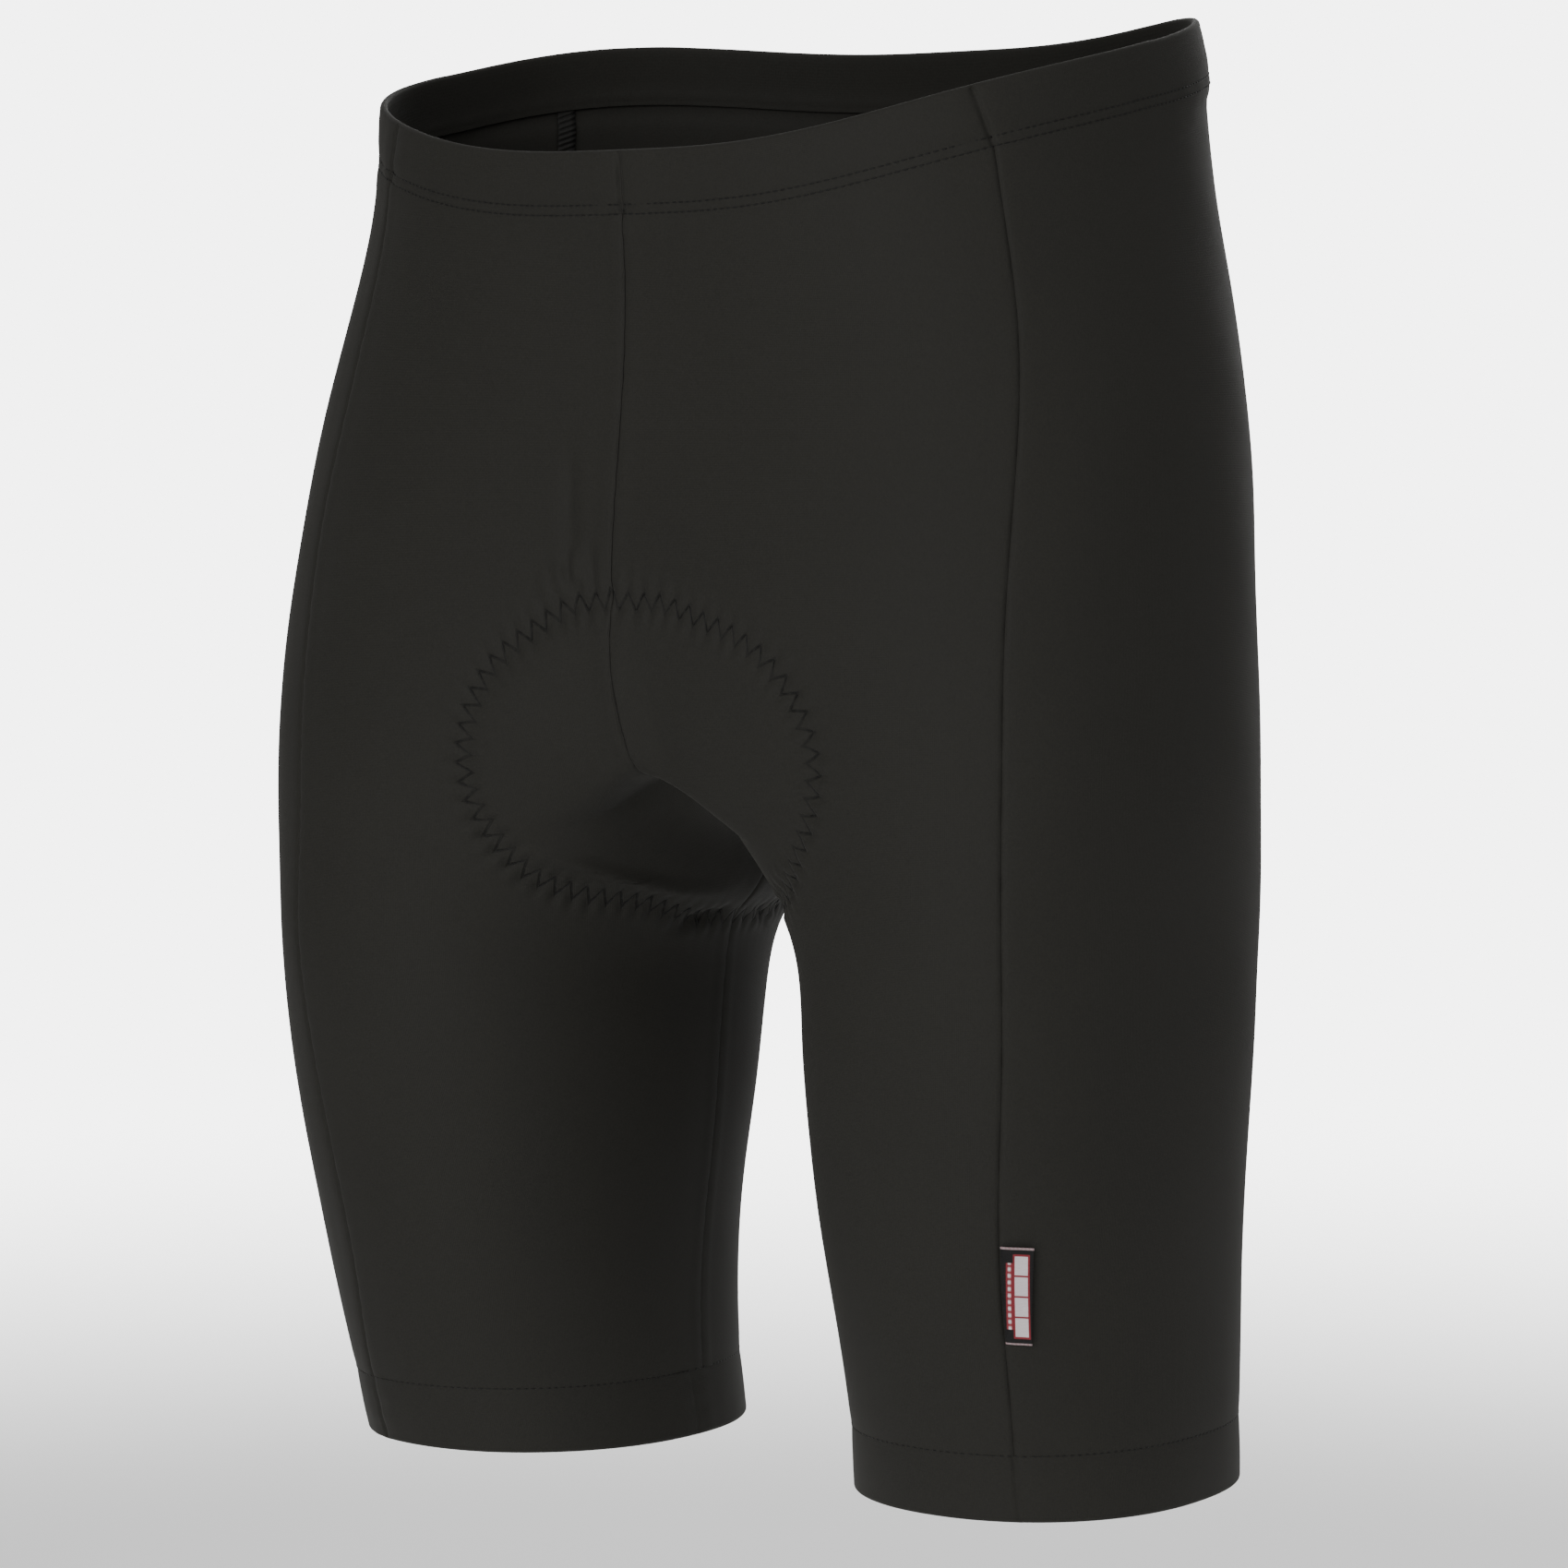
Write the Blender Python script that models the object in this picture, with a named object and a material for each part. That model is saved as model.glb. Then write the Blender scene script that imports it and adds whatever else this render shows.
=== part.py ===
"""Close-fitting cycling shorts, worn shape, empty inside.

Metres, +Z up. The wearer faces -Y and the wearer's left is +X. The origin is on the centre line,
level with the front of the waistband.

The cloth is one smooth form, cut into panels at its seams. At each height the form has a half section,
a rounded oval from the centre front or inner leg, round the outside, to the centre back or inner leg.
A place on the form is its height and its share of the way round, 0 at the inner front and 1 at the
inner back. Every wall is placed by those two and its depth under the cloth's outer face.
"""
from collections import namedtuple

import bmesh
import bpy
import numpy as np

# Driving sizes
CLOTH = 0.0018              # wall of one layer of knit
BAND_WALL = 0.0026          # turned casing with its elastic
BAND_HEIGHT = 0.020
HEM_WALL = 0.0024           # turned hem with its gripper
HEM_HEIGHT = 0.022
HEM_LEVEL = -0.4113         # lower edge of each leg
SEAM_GAP = 0.0003
SEAM_CUT = 0.55 * SEAM_GAP  # cut back from the seam line on each side
RIDGE = 0.0003              # how far band and hem stand out from the panels
BAND_ROLL = 0.0018          # how far the band's lower edge rolls out behind the hips
BAND_ROLL_FROM = 0.40       # share of the way round where the roll begins
BAND_ROLL_FULL = 0.62
LABEL_WIDTH = 0.011
LABEL_HEIGHT = 0.031
LABEL_WALL = 0.0009
LABEL_TOP = -0.3215

# Waist edge: height = sum of these times cos(n pi share), n from 0
RIM_WAVES = (0.0425, -0.0217, -0.0061, 0.0004, -0.0018)
LEVEL_ROWS_FROM = -0.17     # below this height the rows of the panels are level

# Form: superellipse of this power
ROUNDNESS = 2.15
FORM_COLUMNS = ("height", "half_width", "leg_centre", "fold", "centre_y", "front", "back", "turn")
FORM = (
    (-0.430, 0.1546, 0.0973, 0.0077, 0.0087, 0.0644, 0.0689, 0.020),
    (-0.390, 0.1577, 0.1002, 0.0074, 0.0034, 0.0708, 0.0715, 0.034),
    (-0.345, 0.1614, 0.1007, 0.0077, -0.0021, 0.0776, 0.0741, 0.060),
    (-0.300, 0.1656, 0.1004, 0.0092, -0.0051, 0.0838, 0.0795, 0.097),
    (-0.265, 0.1673, 0.1007, 0.0125, -0.0061, 0.0884, 0.0859, 0.123),
    (-0.235, 0.1671, 0.0994, 0.0178, -0.0054, 0.0916, 0.0932, 0.170),
    (-0.205, 0.1684, 0.0891, 0.0255, -0.0030, 0.0941, 0.1016, 0.205),
    (-0.170, 0.1691, 0.0739, 0.0333, -0.0013, 0.0976, 0.1082, 0.190),
    (-0.120, 0.1664, 0.0568, 0.0379, 0.0000, 0.0994, 0.1111, 0.143),
    (-0.060, 0.1595, 0.0443, 0.0348, 0.0035, 0.0940, 0.1102, 0.103),
    (0.000, 0.1455, 0.0337, 0.0284, 0.0035, 0.0940, 0.1063, 0.046),
    (0.060, 0.1403, 0.0252, 0.0232, 0.0010, 0.0975, 0.1025, 0.032),
)

# Seams, as lengths along the cloth ahead of and behind the side line, and how far the shorts sit
# turned to the wearer's left
SEAM_COLUMNS = ("height", "side_front", "side_back", "twist")
SEAMS = (
    (-0.420, 0.073, 0.058, 0.002),
    (-0.385, 0.076, 0.060, 0.003),
    (-0.355, 0.081, 0.062, 0.005),
    (-0.320, 0.085, 0.066, 0.006),
    (-0.280, 0.086, 0.072, 0.006),
    (-0.240, 0.085, 0.077, 0.006),
    (-0.195, 0.084, 0.079, 0.007),
    (-0.150, 0.083, 0.077, 0.007),
    (-0.080, 0.079, 0.074, 0.008),
    (-0.030, 0.076, 0.071, 0.009),
    (0.040, 0.077, 0.068, 0.009),
)

# Pad, seen from a point inside the seat: degrees up from straight down to the front, and half width
PAD_EYE = (0.0, 0.010, -0.130)
PAD_COLUMNS = ("along", "half_width")
PAD = (
    (-106.0, 16.0),
    (-98.0, 35.0),
    (-84.0, 47.0),
    (-68.0, 46.0),
    (-52.0, 35.0),
    (-36.0, 23.0),
    (-18.0, 15.5),
    (0.0, 13.5),
    (14.0, 14.0),
    (26.0, 16.0),
    (37.0, 20.5),
    (48.0, 30.5),
    (60.0, 39.0),
    (72.0, 39.0),
    (83.0, 30.0),
    (91.0, 15.0),
)
PAD_SWELL = 0.0024          # how far it pushes the cloth out
PAD_RAMP = 20.0             # degrees from its edge to its full thickness
PAD_EDGE = 0.0016
PAD_FULL = 0.0065
PAD_CLEAR = 0.0010
PAD_STEP = 0.002            # the search for the cloth from the eye: first steps, then halvings
PAD_HALVINGS = 24

# Fineness
ROWS_ABOVE = 19
ROWS_BELOW = 13
ROW_SPREAD = 3.5            # rows crowd towards the crotch, where the seams turn quickly
PANEL_COLUMNS = {"front": 14, "side": 9, "back": 14}
BAND_STEPS = 68
HEM_STEPS = 44
PAD_ROWS = 22
PAD_ACROSS = 10
LINE_POINTS = 1201          # points used to measure along a row

INK = (0.019, 0.018, 0.015)
FOAM = (0.045, 0.046, 0.048)
TAPE = (0.035, 0.028, 0.028)


class Curve:
    """Natural cubic spline through the rows of a table, by its first column."""

    def __init__(self, columns, rows):
        table = np.array(rows, dtype=float)
        self.row = namedtuple("Row", columns[1:])
        self.at = table[:, 0]
        self.values = table[:, 1:]
        count = len(self.at)
        step = np.diff(self.at)
        rise = np.diff(self.values, axis=0) / step[:, None]
        system = np.zeros((count, count))
        right = np.zeros_like(self.values)
        system[0, :2] = (2.0, 1.0)
        right[0] = 3.0 * rise[0]
        system[-1, -2:] = (1.0, 2.0)
        right[-1] = 3.0 * rise[-1]
        for i in range(1, count - 1):
            system[i, i - 1:i + 2] = (step[i], 2.0 * (step[i] + step[i - 1]), step[i - 1])
            right[i] = 3.0 * (step[i] * rise[i - 1] + step[i - 1] * rise[i])
        self.slopes = np.linalg.solve(system, right)

    def __call__(self, x):
        """Row of the table at x, by column name."""
        x = np.clip(np.asarray(x, dtype=float), self.at[0], self.at[-1])
        i = np.clip(np.searchsorted(self.at, x) - 1, 0, len(self.at) - 2)
        step = (self.at[i + 1] - self.at[i])[..., None]
        u = (x - self.at[i])[..., None] / step
        low = self.values[i]
        rise = self.values[i + 1] - low
        out = self.slopes[i] * step
        into = self.slopes[i + 1] * step
        value = low + u * out + u**2 * (3.0 * rise - 2.0 * out - into) + u**3 * (out + into - 2.0 * rise)
        return self.row(*np.moveaxis(value, -1, 0))


FORM_CURVE = Curve(FORM_COLUMNS, FORM)
SEAM_CURVE = Curve(SEAM_COLUMNS, SEAMS)
PAD_CURVE = Curve(PAD_COLUMNS, PAD)


def smooth(x):
    """0 to 1 with level ends."""
    x = np.clip(x, 0.0, 1.0)
    return x * x * (3.0 - 2.0 * x)


def oval(height, share):
    """Point of the form at a height and a share of the way round, on the wearer's left."""
    height = height + 0.0 * share
    form = FORM_CURVE(height)
    reach = np.hypot(form.half_width, form.fold) - form.leg_centre
    inner = np.clip((form.leg_centre - form.fold) / reach, -1.0, 1.0)
    start = np.arccos(np.sign(inner) * np.abs(inner) ** (ROUNDNESS / 2.0))
    angle = start + 2.0 * (np.pi - start) * share
    across = np.sign(np.cos(angle)) * np.abs(np.cos(angle)) ** (2.0 / ROUNDNESS)
    along = np.sign(np.sin(angle)) * np.abs(np.sin(angle)) ** (2.0 / ROUNDNESS)
    depth = np.where(along > 0.0, form.front, form.back)
    x = np.sqrt(np.maximum((form.leg_centre - reach * across) ** 2 - form.fold**2, 0.0))
    y = form.centre_y - depth * along + form.turn * reach * across
    return np.stack([x, y, height], axis=-1)


def beyond(point):
    """Below 0 inside the form and above 0 outside."""
    form = FORM_CURVE(point[..., 2])
    reach = np.hypot(form.half_width, form.fold) - form.leg_centre
    across = np.hypot(point[..., 0], form.fold) - form.leg_centre
    along = point[..., 1] - form.centre_y + form.turn * across
    depth = np.where(along < 0.0, form.front, form.back)
    return (np.abs(across) / reach) ** ROUNDNESS + (np.abs(along) / depth) ** ROUNDNESS - 1.0


def outward(point):
    """Unit normal of the form."""
    small = 0.0002
    slope = np.zeros_like(point)
    for axis in range(3):
        shift = np.zeros(3)
        shift[axis] = small
        slope[..., axis] = beyond(point + shift) - beyond(point - shift)
    return slope / np.linalg.norm(slope, axis=-1, keepdims=True)


def pad_place(point):
    """Degrees along and across the pad of a point, and the half width there."""
    arm = point - np.array(PAD_EYE)
    arm = arm / np.linalg.norm(arm, axis=-1, keepdims=True)
    away = np.degrees(np.arccos(np.clip(-arm[..., 2], -1.0, 1.0)))
    round_down = np.arctan2(arm[..., 0], -arm[..., 1])
    along = away * np.cos(round_down)
    return along, away * np.sin(round_down), PAD_CURVE(along).half_width


def pad_depth(point):
    """0 outside the pad, 1 where it is thick."""
    along, across, half_width = pad_place(point)
    side = (half_width - np.abs(across)) / PAD_RAMP
    front = (PAD[-1][0] + 4.0 - along) / PAD_RAMP
    back = (along - PAD[0][0] + 4.0) / PAD_RAMP
    return smooth(side) * smooth(front) * smooth(back)


def cloth(height, share, side, lift):
    """Point of the cloth, lifted off its outer face; side is 1 on the wearer's left and -1 on the right."""
    point = oval(height, share)
    point = point + outward(point) * (lift + PAD_SWELL * pad_depth(point))[..., None]
    return point * np.array([side, 1.0, 1.0])


def rim_height(share):
    """Height of the waist edge."""
    return sum(wave * np.cos(n * np.pi * share) for n, wave in enumerate(RIM_WAVES))


def row_height(level, share):
    """Height along one row of the panels, which tilts with the waist edge and evens out below."""
    top = rim_height(share) - BAND_HEIGHT - SEAM_GAP
    return level + top * smooth((level - LEVEL_ROWS_FROM) / -LEVEL_ROWS_FROM)


def crotch_height():
    """Height where the two legs part."""
    height = np.linspace(FORM[0][0], FORM[-1][0], 4001)
    form = FORM_CURVE(height)
    joined = 2.0 * form.leg_centre - np.hypot(form.half_width, form.fold) < form.fold
    return height[joined][0]


def row_levels():
    """Levels of the rows, from the band down to the hem."""
    crotch = crotch_height()
    bottom = HEM_LEVEL + HEM_HEIGHT + SEAM_GAP

    def spread(count):
        step = np.linspace(0.0, 1.0, count + 1)
        return (np.hypot(step * ROW_SPREAD, 1.0) - 1.0) / (np.hypot(ROW_SPREAD, 1.0) - 1.0)

    above = crotch * (1.0 - spread(ROWS_ABOVE)[::-1])
    below = crotch - (crotch - bottom) * spread(ROWS_BELOW)
    return np.concatenate([above, below[1:]])


def lengths(line):
    """Length along a line of points, from its first."""
    return np.concatenate([[0.0], np.cumsum(np.linalg.norm(np.diff(line, axis=0), axis=1))])


def seam_lengths(height, side, share, length):
    """Where the four seams of a half lie along a row: inner front, side front, side back, inner back."""
    side_line = np.interp(0.5, share, length)
    seams = SEAM_CURVE(height)
    ahead = side_line - seams.side_front + side * seams.twist
    behind = side_line + seams.side_back + side * seams.twist
    return (length[0], ahead, behind, length[-1])


def even_shares(level, side, piece, steps):
    """Shares of evenly spaced points along one row of a panel, clear of the seams at both ends."""
    share = np.linspace(0.0, 1.0, LINE_POINTS)
    height = row_height(level, share)
    length = lengths(oval(height, share))
    middle = np.interp(0.5, share, height)
    seams = seam_lengths(middle, side, share, length)
    first = seams[piece] + SEAM_CUT
    last = seams[piece + 1] - SEAM_CUT
    return np.interp(first + (last - first) * steps, length, share)


def finish(name, mesh_builder, colour, roughness):
    """New object from a filled bmesh, with its own material."""
    bmesh.ops.recalc_face_normals(mesh_builder, faces=mesh_builder.faces[:])
    if mesh_builder.calc_volume(signed=True) < 0.0:
        bmesh.ops.reverse_faces(mesh_builder, faces=mesh_builder.faces[:])
    mesh = bpy.data.meshes.new(name)
    mesh_builder.to_mesh(mesh)
    mesh_builder.free()
    mesh.shade_smooth()
    mesh.set_sharp_from_angle(angle=np.radians(40.0))
    obj = bpy.data.objects.new(name, mesh)
    bpy.context.scene.collection.objects.link(obj)
    material = bpy.data.materials.new(name)
    material.use_nodes = True
    shader = material.node_tree.nodes["Principled BSDF"]
    shader.inputs["Base Color"].default_value = (*colour, 1.0)
    shader.inputs["Roughness"].default_value = roughness
    shader.inputs["Metallic"].default_value = 0.0
    mesh.materials.append(material)
    return obj


def wall(name, columns, rows, place, colour, roughness=0.75):
    """Sheet with a wall. place(across, down, depth) takes shares of the sheet, depth 0 outside, 1 inside."""
    builder = bmesh.new()
    bmesh.ops.create_grid(builder, x_segments=columns, y_segments=rows, size=0.5)
    inside = bmesh.ops.extrude_face_region(builder, geom=builder.faces[:], use_keep_orig=True)
    verts = [part for part in inside["geom"] if isinstance(part, bmesh.types.BMVert)]
    bmesh.ops.translate(builder, verts=verts, vec=(0.0, 0.0, 1.0))
    flat = np.array([vert.co for vert in builder.verts])
    solid = place(flat[:, 0] + 0.5, 0.5 - flat[:, 1], flat[:, 2])
    for vert, point in zip(builder.verts, solid):
        vert.co = point
    return finish(name, builder, colour, roughness)


def ring(name, steps, profile, place, colour, roughness=0.75):
    """Closed ring. profile is a loop of (drop, lift) pairs; place(way round, drop, lift) gives the points."""
    builder = bmesh.new()
    bmesh.ops.create_grid(builder, x_segments=steps, y_segments=len(profile), size=0.5)
    flat = np.array([vert.co for vert in builder.verts])
    corner = np.rint((flat[:, 1] + 0.5) * len(profile)).astype(int) % len(profile)
    drop, lift = np.array(profile)[corner].T
    for vert, point in zip(builder.verts, place((flat[:, 0] + 0.5) % 1.0, drop, lift)):
        vert.co = point
    bmesh.ops.remove_doubles(builder, verts=builder.verts[:], dist=0.000001)
    return finish(name, builder, colour, roughness)


def turned_profile(height, thick):
    """Section of a turned edge: a flat tube with rounded corners, from its top edge down."""
    outer = RIDGE
    inner = RIDGE - thick
    corner = 0.25 * thick
    return (
        (0.0, outer - corner), (corner, outer), (height - corner, outer), (height, outer - corner),
        (height, inner + corner), (height - corner, inner), (corner, inner), (0.0, inner + corner),
    )


def make_panel(kind, piece, side, side_name):
    """One panel of one half."""
    levels = row_levels()
    count = len(levels) - 1
    columns = PANEL_COLUMNS[kind]

    def place(across, down, depth):
        row = np.rint(down * count).astype(int)
        share = np.zeros_like(across)
        for number, level in enumerate(levels):
            on_row = row == number
            share[on_row] = even_shares(level, side, piece, across[on_row])
        return cloth(row_height(levels[row], share), share, side, -CLOTH * depth)

    return wall(f"{kind}_panel_{side_name}", columns, count, place, INK)


def make_waistband():
    """Turned casing with elastic, all round the waist."""

    def place(way, drop, lift):
        side = np.where(way < 0.5, 1.0, -1.0)
        share = np.where(way < 0.5, 2.0 * way, 2.0 - 2.0 * way)
        point = oval(rim_height(share) - drop, share)
        roll = smooth((share - BAND_ROLL_FROM) / (BAND_ROLL_FULL - BAND_ROLL_FROM)) * smooth(drop / BAND_HEIGHT)
        point = point + outward(point) * (lift + BAND_ROLL * roll)[:, None]
        return point * np.stack([side, 0.0 * side + 1.0, 0.0 * side + 1.0], axis=-1)

    return ring("waistband", BAND_STEPS, turned_profile(BAND_HEIGHT, BAND_WALL), place, INK)


def make_hem(side, side_name):
    """Turned hem with its gripper, round one leg."""

    def place(way, drop, lift):
        point = oval(HEM_LEVEL + HEM_HEIGHT - drop, way)
        return (point + outward(point) * lift[:, None]) * np.array([side, 1.0, 1.0])

    return ring(f"hem_{side_name}", HEM_STEPS, turned_profile(HEM_HEIGHT, HEM_WALL), place, INK)


def make_pad():
    """Seat pad inside the crotch, from front to back."""
    eye = np.array(PAD_EYE)
    first = PAD[-1][0]
    last = PAD[0][0]

    def place(across, down, depth):
        along = first + (last - first) * down
        sideways = (2.0 * across - 1.0) * PAD_CURVE(along).half_width
        away = np.radians(np.hypot(along, sideways))
        round_down = np.arctan2(sideways, along)
        arm = np.stack([np.sin(away) * np.sin(round_down), -np.sin(away) * np.cos(round_down), -np.cos(away)], -1)
        far = np.full(len(arm), PAD_STEP)
        inside = beyond(eye + arm * far[:, None]) < 0.0
        while np.any(inside):
            far = far + PAD_STEP * inside
            inside = beyond(eye + arm * far[:, None]) < 0.0
        near = far - PAD_STEP
        for _ in range(PAD_HALVINGS):
            middle = 0.5 * (near + far)
            inside = beyond(eye + arm * middle[:, None]) < 0.0
            near = np.where(inside, middle, near)
            far = np.where(inside, far, middle)
        point = eye + arm * near[:, None]
        thick = pad_depth(point)
        outer = PAD_SWELL * thick - CLOTH - PAD_CLEAR
        inner = outer - PAD_EDGE - (PAD_FULL - PAD_EDGE) * thick
        return point + outward(point) * (outer + (inner - outer) * depth)[:, None]

    return wall("pad", PAD_ACROSS, PAD_ROWS, place, FOAM, 0.9)


def make_label():
    """Small folded tab beside the wearer's left side-front seam."""
    way = np.linspace(0.0, 1.0, LINE_POINTS)

    def place(across, down, depth):
        height = LABEL_TOP - LABEL_HEIGHT * down
        share = np.zeros_like(height)
        for number, level in enumerate(height):
            length = lengths(oval(level, way))
            seam = seam_lengths(level, 1.0, way, length)[1]
            share[number] = np.interp(seam + SEAM_GAP + LABEL_WIDTH * across[number], length, way)
        return cloth(height, share, 1.0, SEAM_GAP + LABEL_WALL * (1.0 - depth))

    return wall("side_label", 3, 6, place, TAPE, 0.6)


def main():
    """Build the shorts."""
    for obj in list(bpy.data.objects):
        bpy.data.objects.remove(obj, do_unlink=True)
    for side, side_name in ((1.0, "left"), (-1.0, "right")):
        for piece, kind in enumerate(("front", "side", "back")):
            make_panel(kind, piece, side, side_name)
        make_hem(side, side_name)
    make_waistband()
    make_pad()
    make_label()


main()
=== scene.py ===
"""Looks of a pair of close-fitting cycling shorts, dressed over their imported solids.

Metres, +Z up. The wearer faces -Y and the wearer's left is +X. The origin is on the centre line,
level with the front of the waistband. Every piece of cloth is placed by the height, the share of
the way round and the lift off the form that its solid has.
"""
import logging
from collections import namedtuple
from dataclasses import dataclass, field
from enum import Enum
from functools import partialmethod

import bmesh
import bpy
import numpy as np
from mathutils import Matrix, Vector


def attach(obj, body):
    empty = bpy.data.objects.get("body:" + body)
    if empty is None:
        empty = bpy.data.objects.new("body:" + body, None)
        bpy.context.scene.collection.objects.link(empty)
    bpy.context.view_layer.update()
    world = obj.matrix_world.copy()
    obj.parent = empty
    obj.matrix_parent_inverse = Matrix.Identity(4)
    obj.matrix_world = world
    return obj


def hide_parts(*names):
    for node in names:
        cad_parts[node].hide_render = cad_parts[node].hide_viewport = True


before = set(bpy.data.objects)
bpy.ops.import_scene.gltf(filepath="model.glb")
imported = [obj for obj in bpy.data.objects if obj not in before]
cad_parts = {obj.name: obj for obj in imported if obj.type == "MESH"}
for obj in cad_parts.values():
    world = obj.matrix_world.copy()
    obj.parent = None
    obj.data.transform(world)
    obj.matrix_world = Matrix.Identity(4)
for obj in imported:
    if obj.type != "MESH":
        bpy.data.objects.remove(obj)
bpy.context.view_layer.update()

log = logging.getLogger("shorts")

PHOTO_WIDTH = 1699           # pixels, for the camera's focal length
CLOTH_MAP = "cloth"          # lengths along and down the cut, in metres
STITCH_MAP = "pad_line"      # length along the pad's stitching, and 0.5 plus the distance from it
MERGE = 0.000001             # corners this close are one


class Side(Enum):
    """Half of the shorts, with the sign of its X."""

    LEFT = 1.0
    RIGHT = -1.0


class Cut(Enum):
    """Panel of one half, with its place from the centre front round to the centre back."""

    FRONT = 0
    SIDE = 1
    BACK = 2


class Slot(Enum):
    """The record's material slots."""

    KNIT = "knit"
    FOAM = "foam"
    TAPE = "tape"


def smooth(x: np.ndarray) -> np.ndarray:
    """0 to 1 with level ends."""
    x = np.clip(x, 0.0, 1.0)
    return x * x * (3.0 - 2.0 * x)


def bell(x: np.ndarray, width: float) -> np.ndarray:
    """Soft hump, 1 at 0 and gone by about two widths."""
    return np.exp(-((x / width) ** 2))


def mirrored(point: np.ndarray, side: np.ndarray) -> np.ndarray:
    """Points with their X turned to their own half."""
    return point * np.stack([side, 1.0 + 0.0 * side, 1.0 + 0.0 * side], axis=-1)


def lengths(line: np.ndarray) -> np.ndarray:
    """Length along a line of points, from its first."""
    return np.concatenate([[0.0], np.cumsum(np.linalg.norm(np.diff(line, axis=0), axis=1))])


def read(where: np.ndarray | float, at: np.ndarray, line: np.ndarray) -> np.ndarray:
    """Points of a line, or directions along it, where its length at has the given values."""
    return np.stack([np.interp(where, at, line[:, axis]) for axis in range(3)], axis=-1)


def placing(x: Vector, y: Vector, z: Vector, place: Vector) -> Matrix:
    """World matrix of three axes and a place."""
    return Matrix([*zip(x, y, z, place), (0.0, 0.0, 0.0, 1.0)])


class Curve:
    """Natural cubic spline through the rows of a table, by its first column."""

    def __init__(self, columns: tuple[str, ...], rows: tuple[tuple[float, ...], ...]) -> None:
        """Work out the slope at each row.

        Args:
            columns: Names of the table's columns, the first one being where each row stands.
            rows: The table.
        """
        table = np.array(rows, dtype=float)
        self.row = namedtuple("Row", columns[1:])
        self.at = table[:, 0]
        self.values = table[:, 1:]
        count = len(self.at)
        step = np.diff(self.at)
        rise = np.diff(self.values, axis=0) / step[:, None]
        system = np.zeros((count, count))
        right = np.zeros_like(self.values)
        system[0, :2] = (2.0, 1.0)
        right[0] = 3.0 * rise[0]
        system[-1, -2:] = (1.0, 2.0)
        right[-1] = 3.0 * rise[-1]
        for i in range(1, count - 1):
            system[i, i - 1:i + 2] = (step[i], 2.0 * (step[i] + step[i - 1]), step[i - 1])
            right[i] = 3.0 * (step[i] * rise[i - 1] + step[i - 1] * rise[i])
        self.slopes = np.linalg.solve(system, right)

    def __call__(self, x: np.ndarray | float) -> tuple:
        """Row of the table at x.

        Args:
            x: Where to read the table, clipped to its ends.

        Returns:
            The columns at x, by name.
        """
        x = np.clip(np.asarray(x, dtype=float), self.at[0], self.at[-1])
        i = np.clip(np.searchsorted(self.at, x) - 1, 0, len(self.at) - 2)
        step = (self.at[i + 1] - self.at[i])[..., None]
        u = (x - self.at[i])[..., None] / step
        low = self.values[i]
        rise = self.values[i + 1] - low
        out = self.slopes[i] * step
        into = self.slopes[i + 1] * step
        square, cube = 3.0 * rise - 2.0 * out - into, out + into - 2.0 * rise
        value = low + u * out + u**2 * square + u**3 * cube
        return self.row(*np.moveaxis(value, -1, 0))


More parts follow.
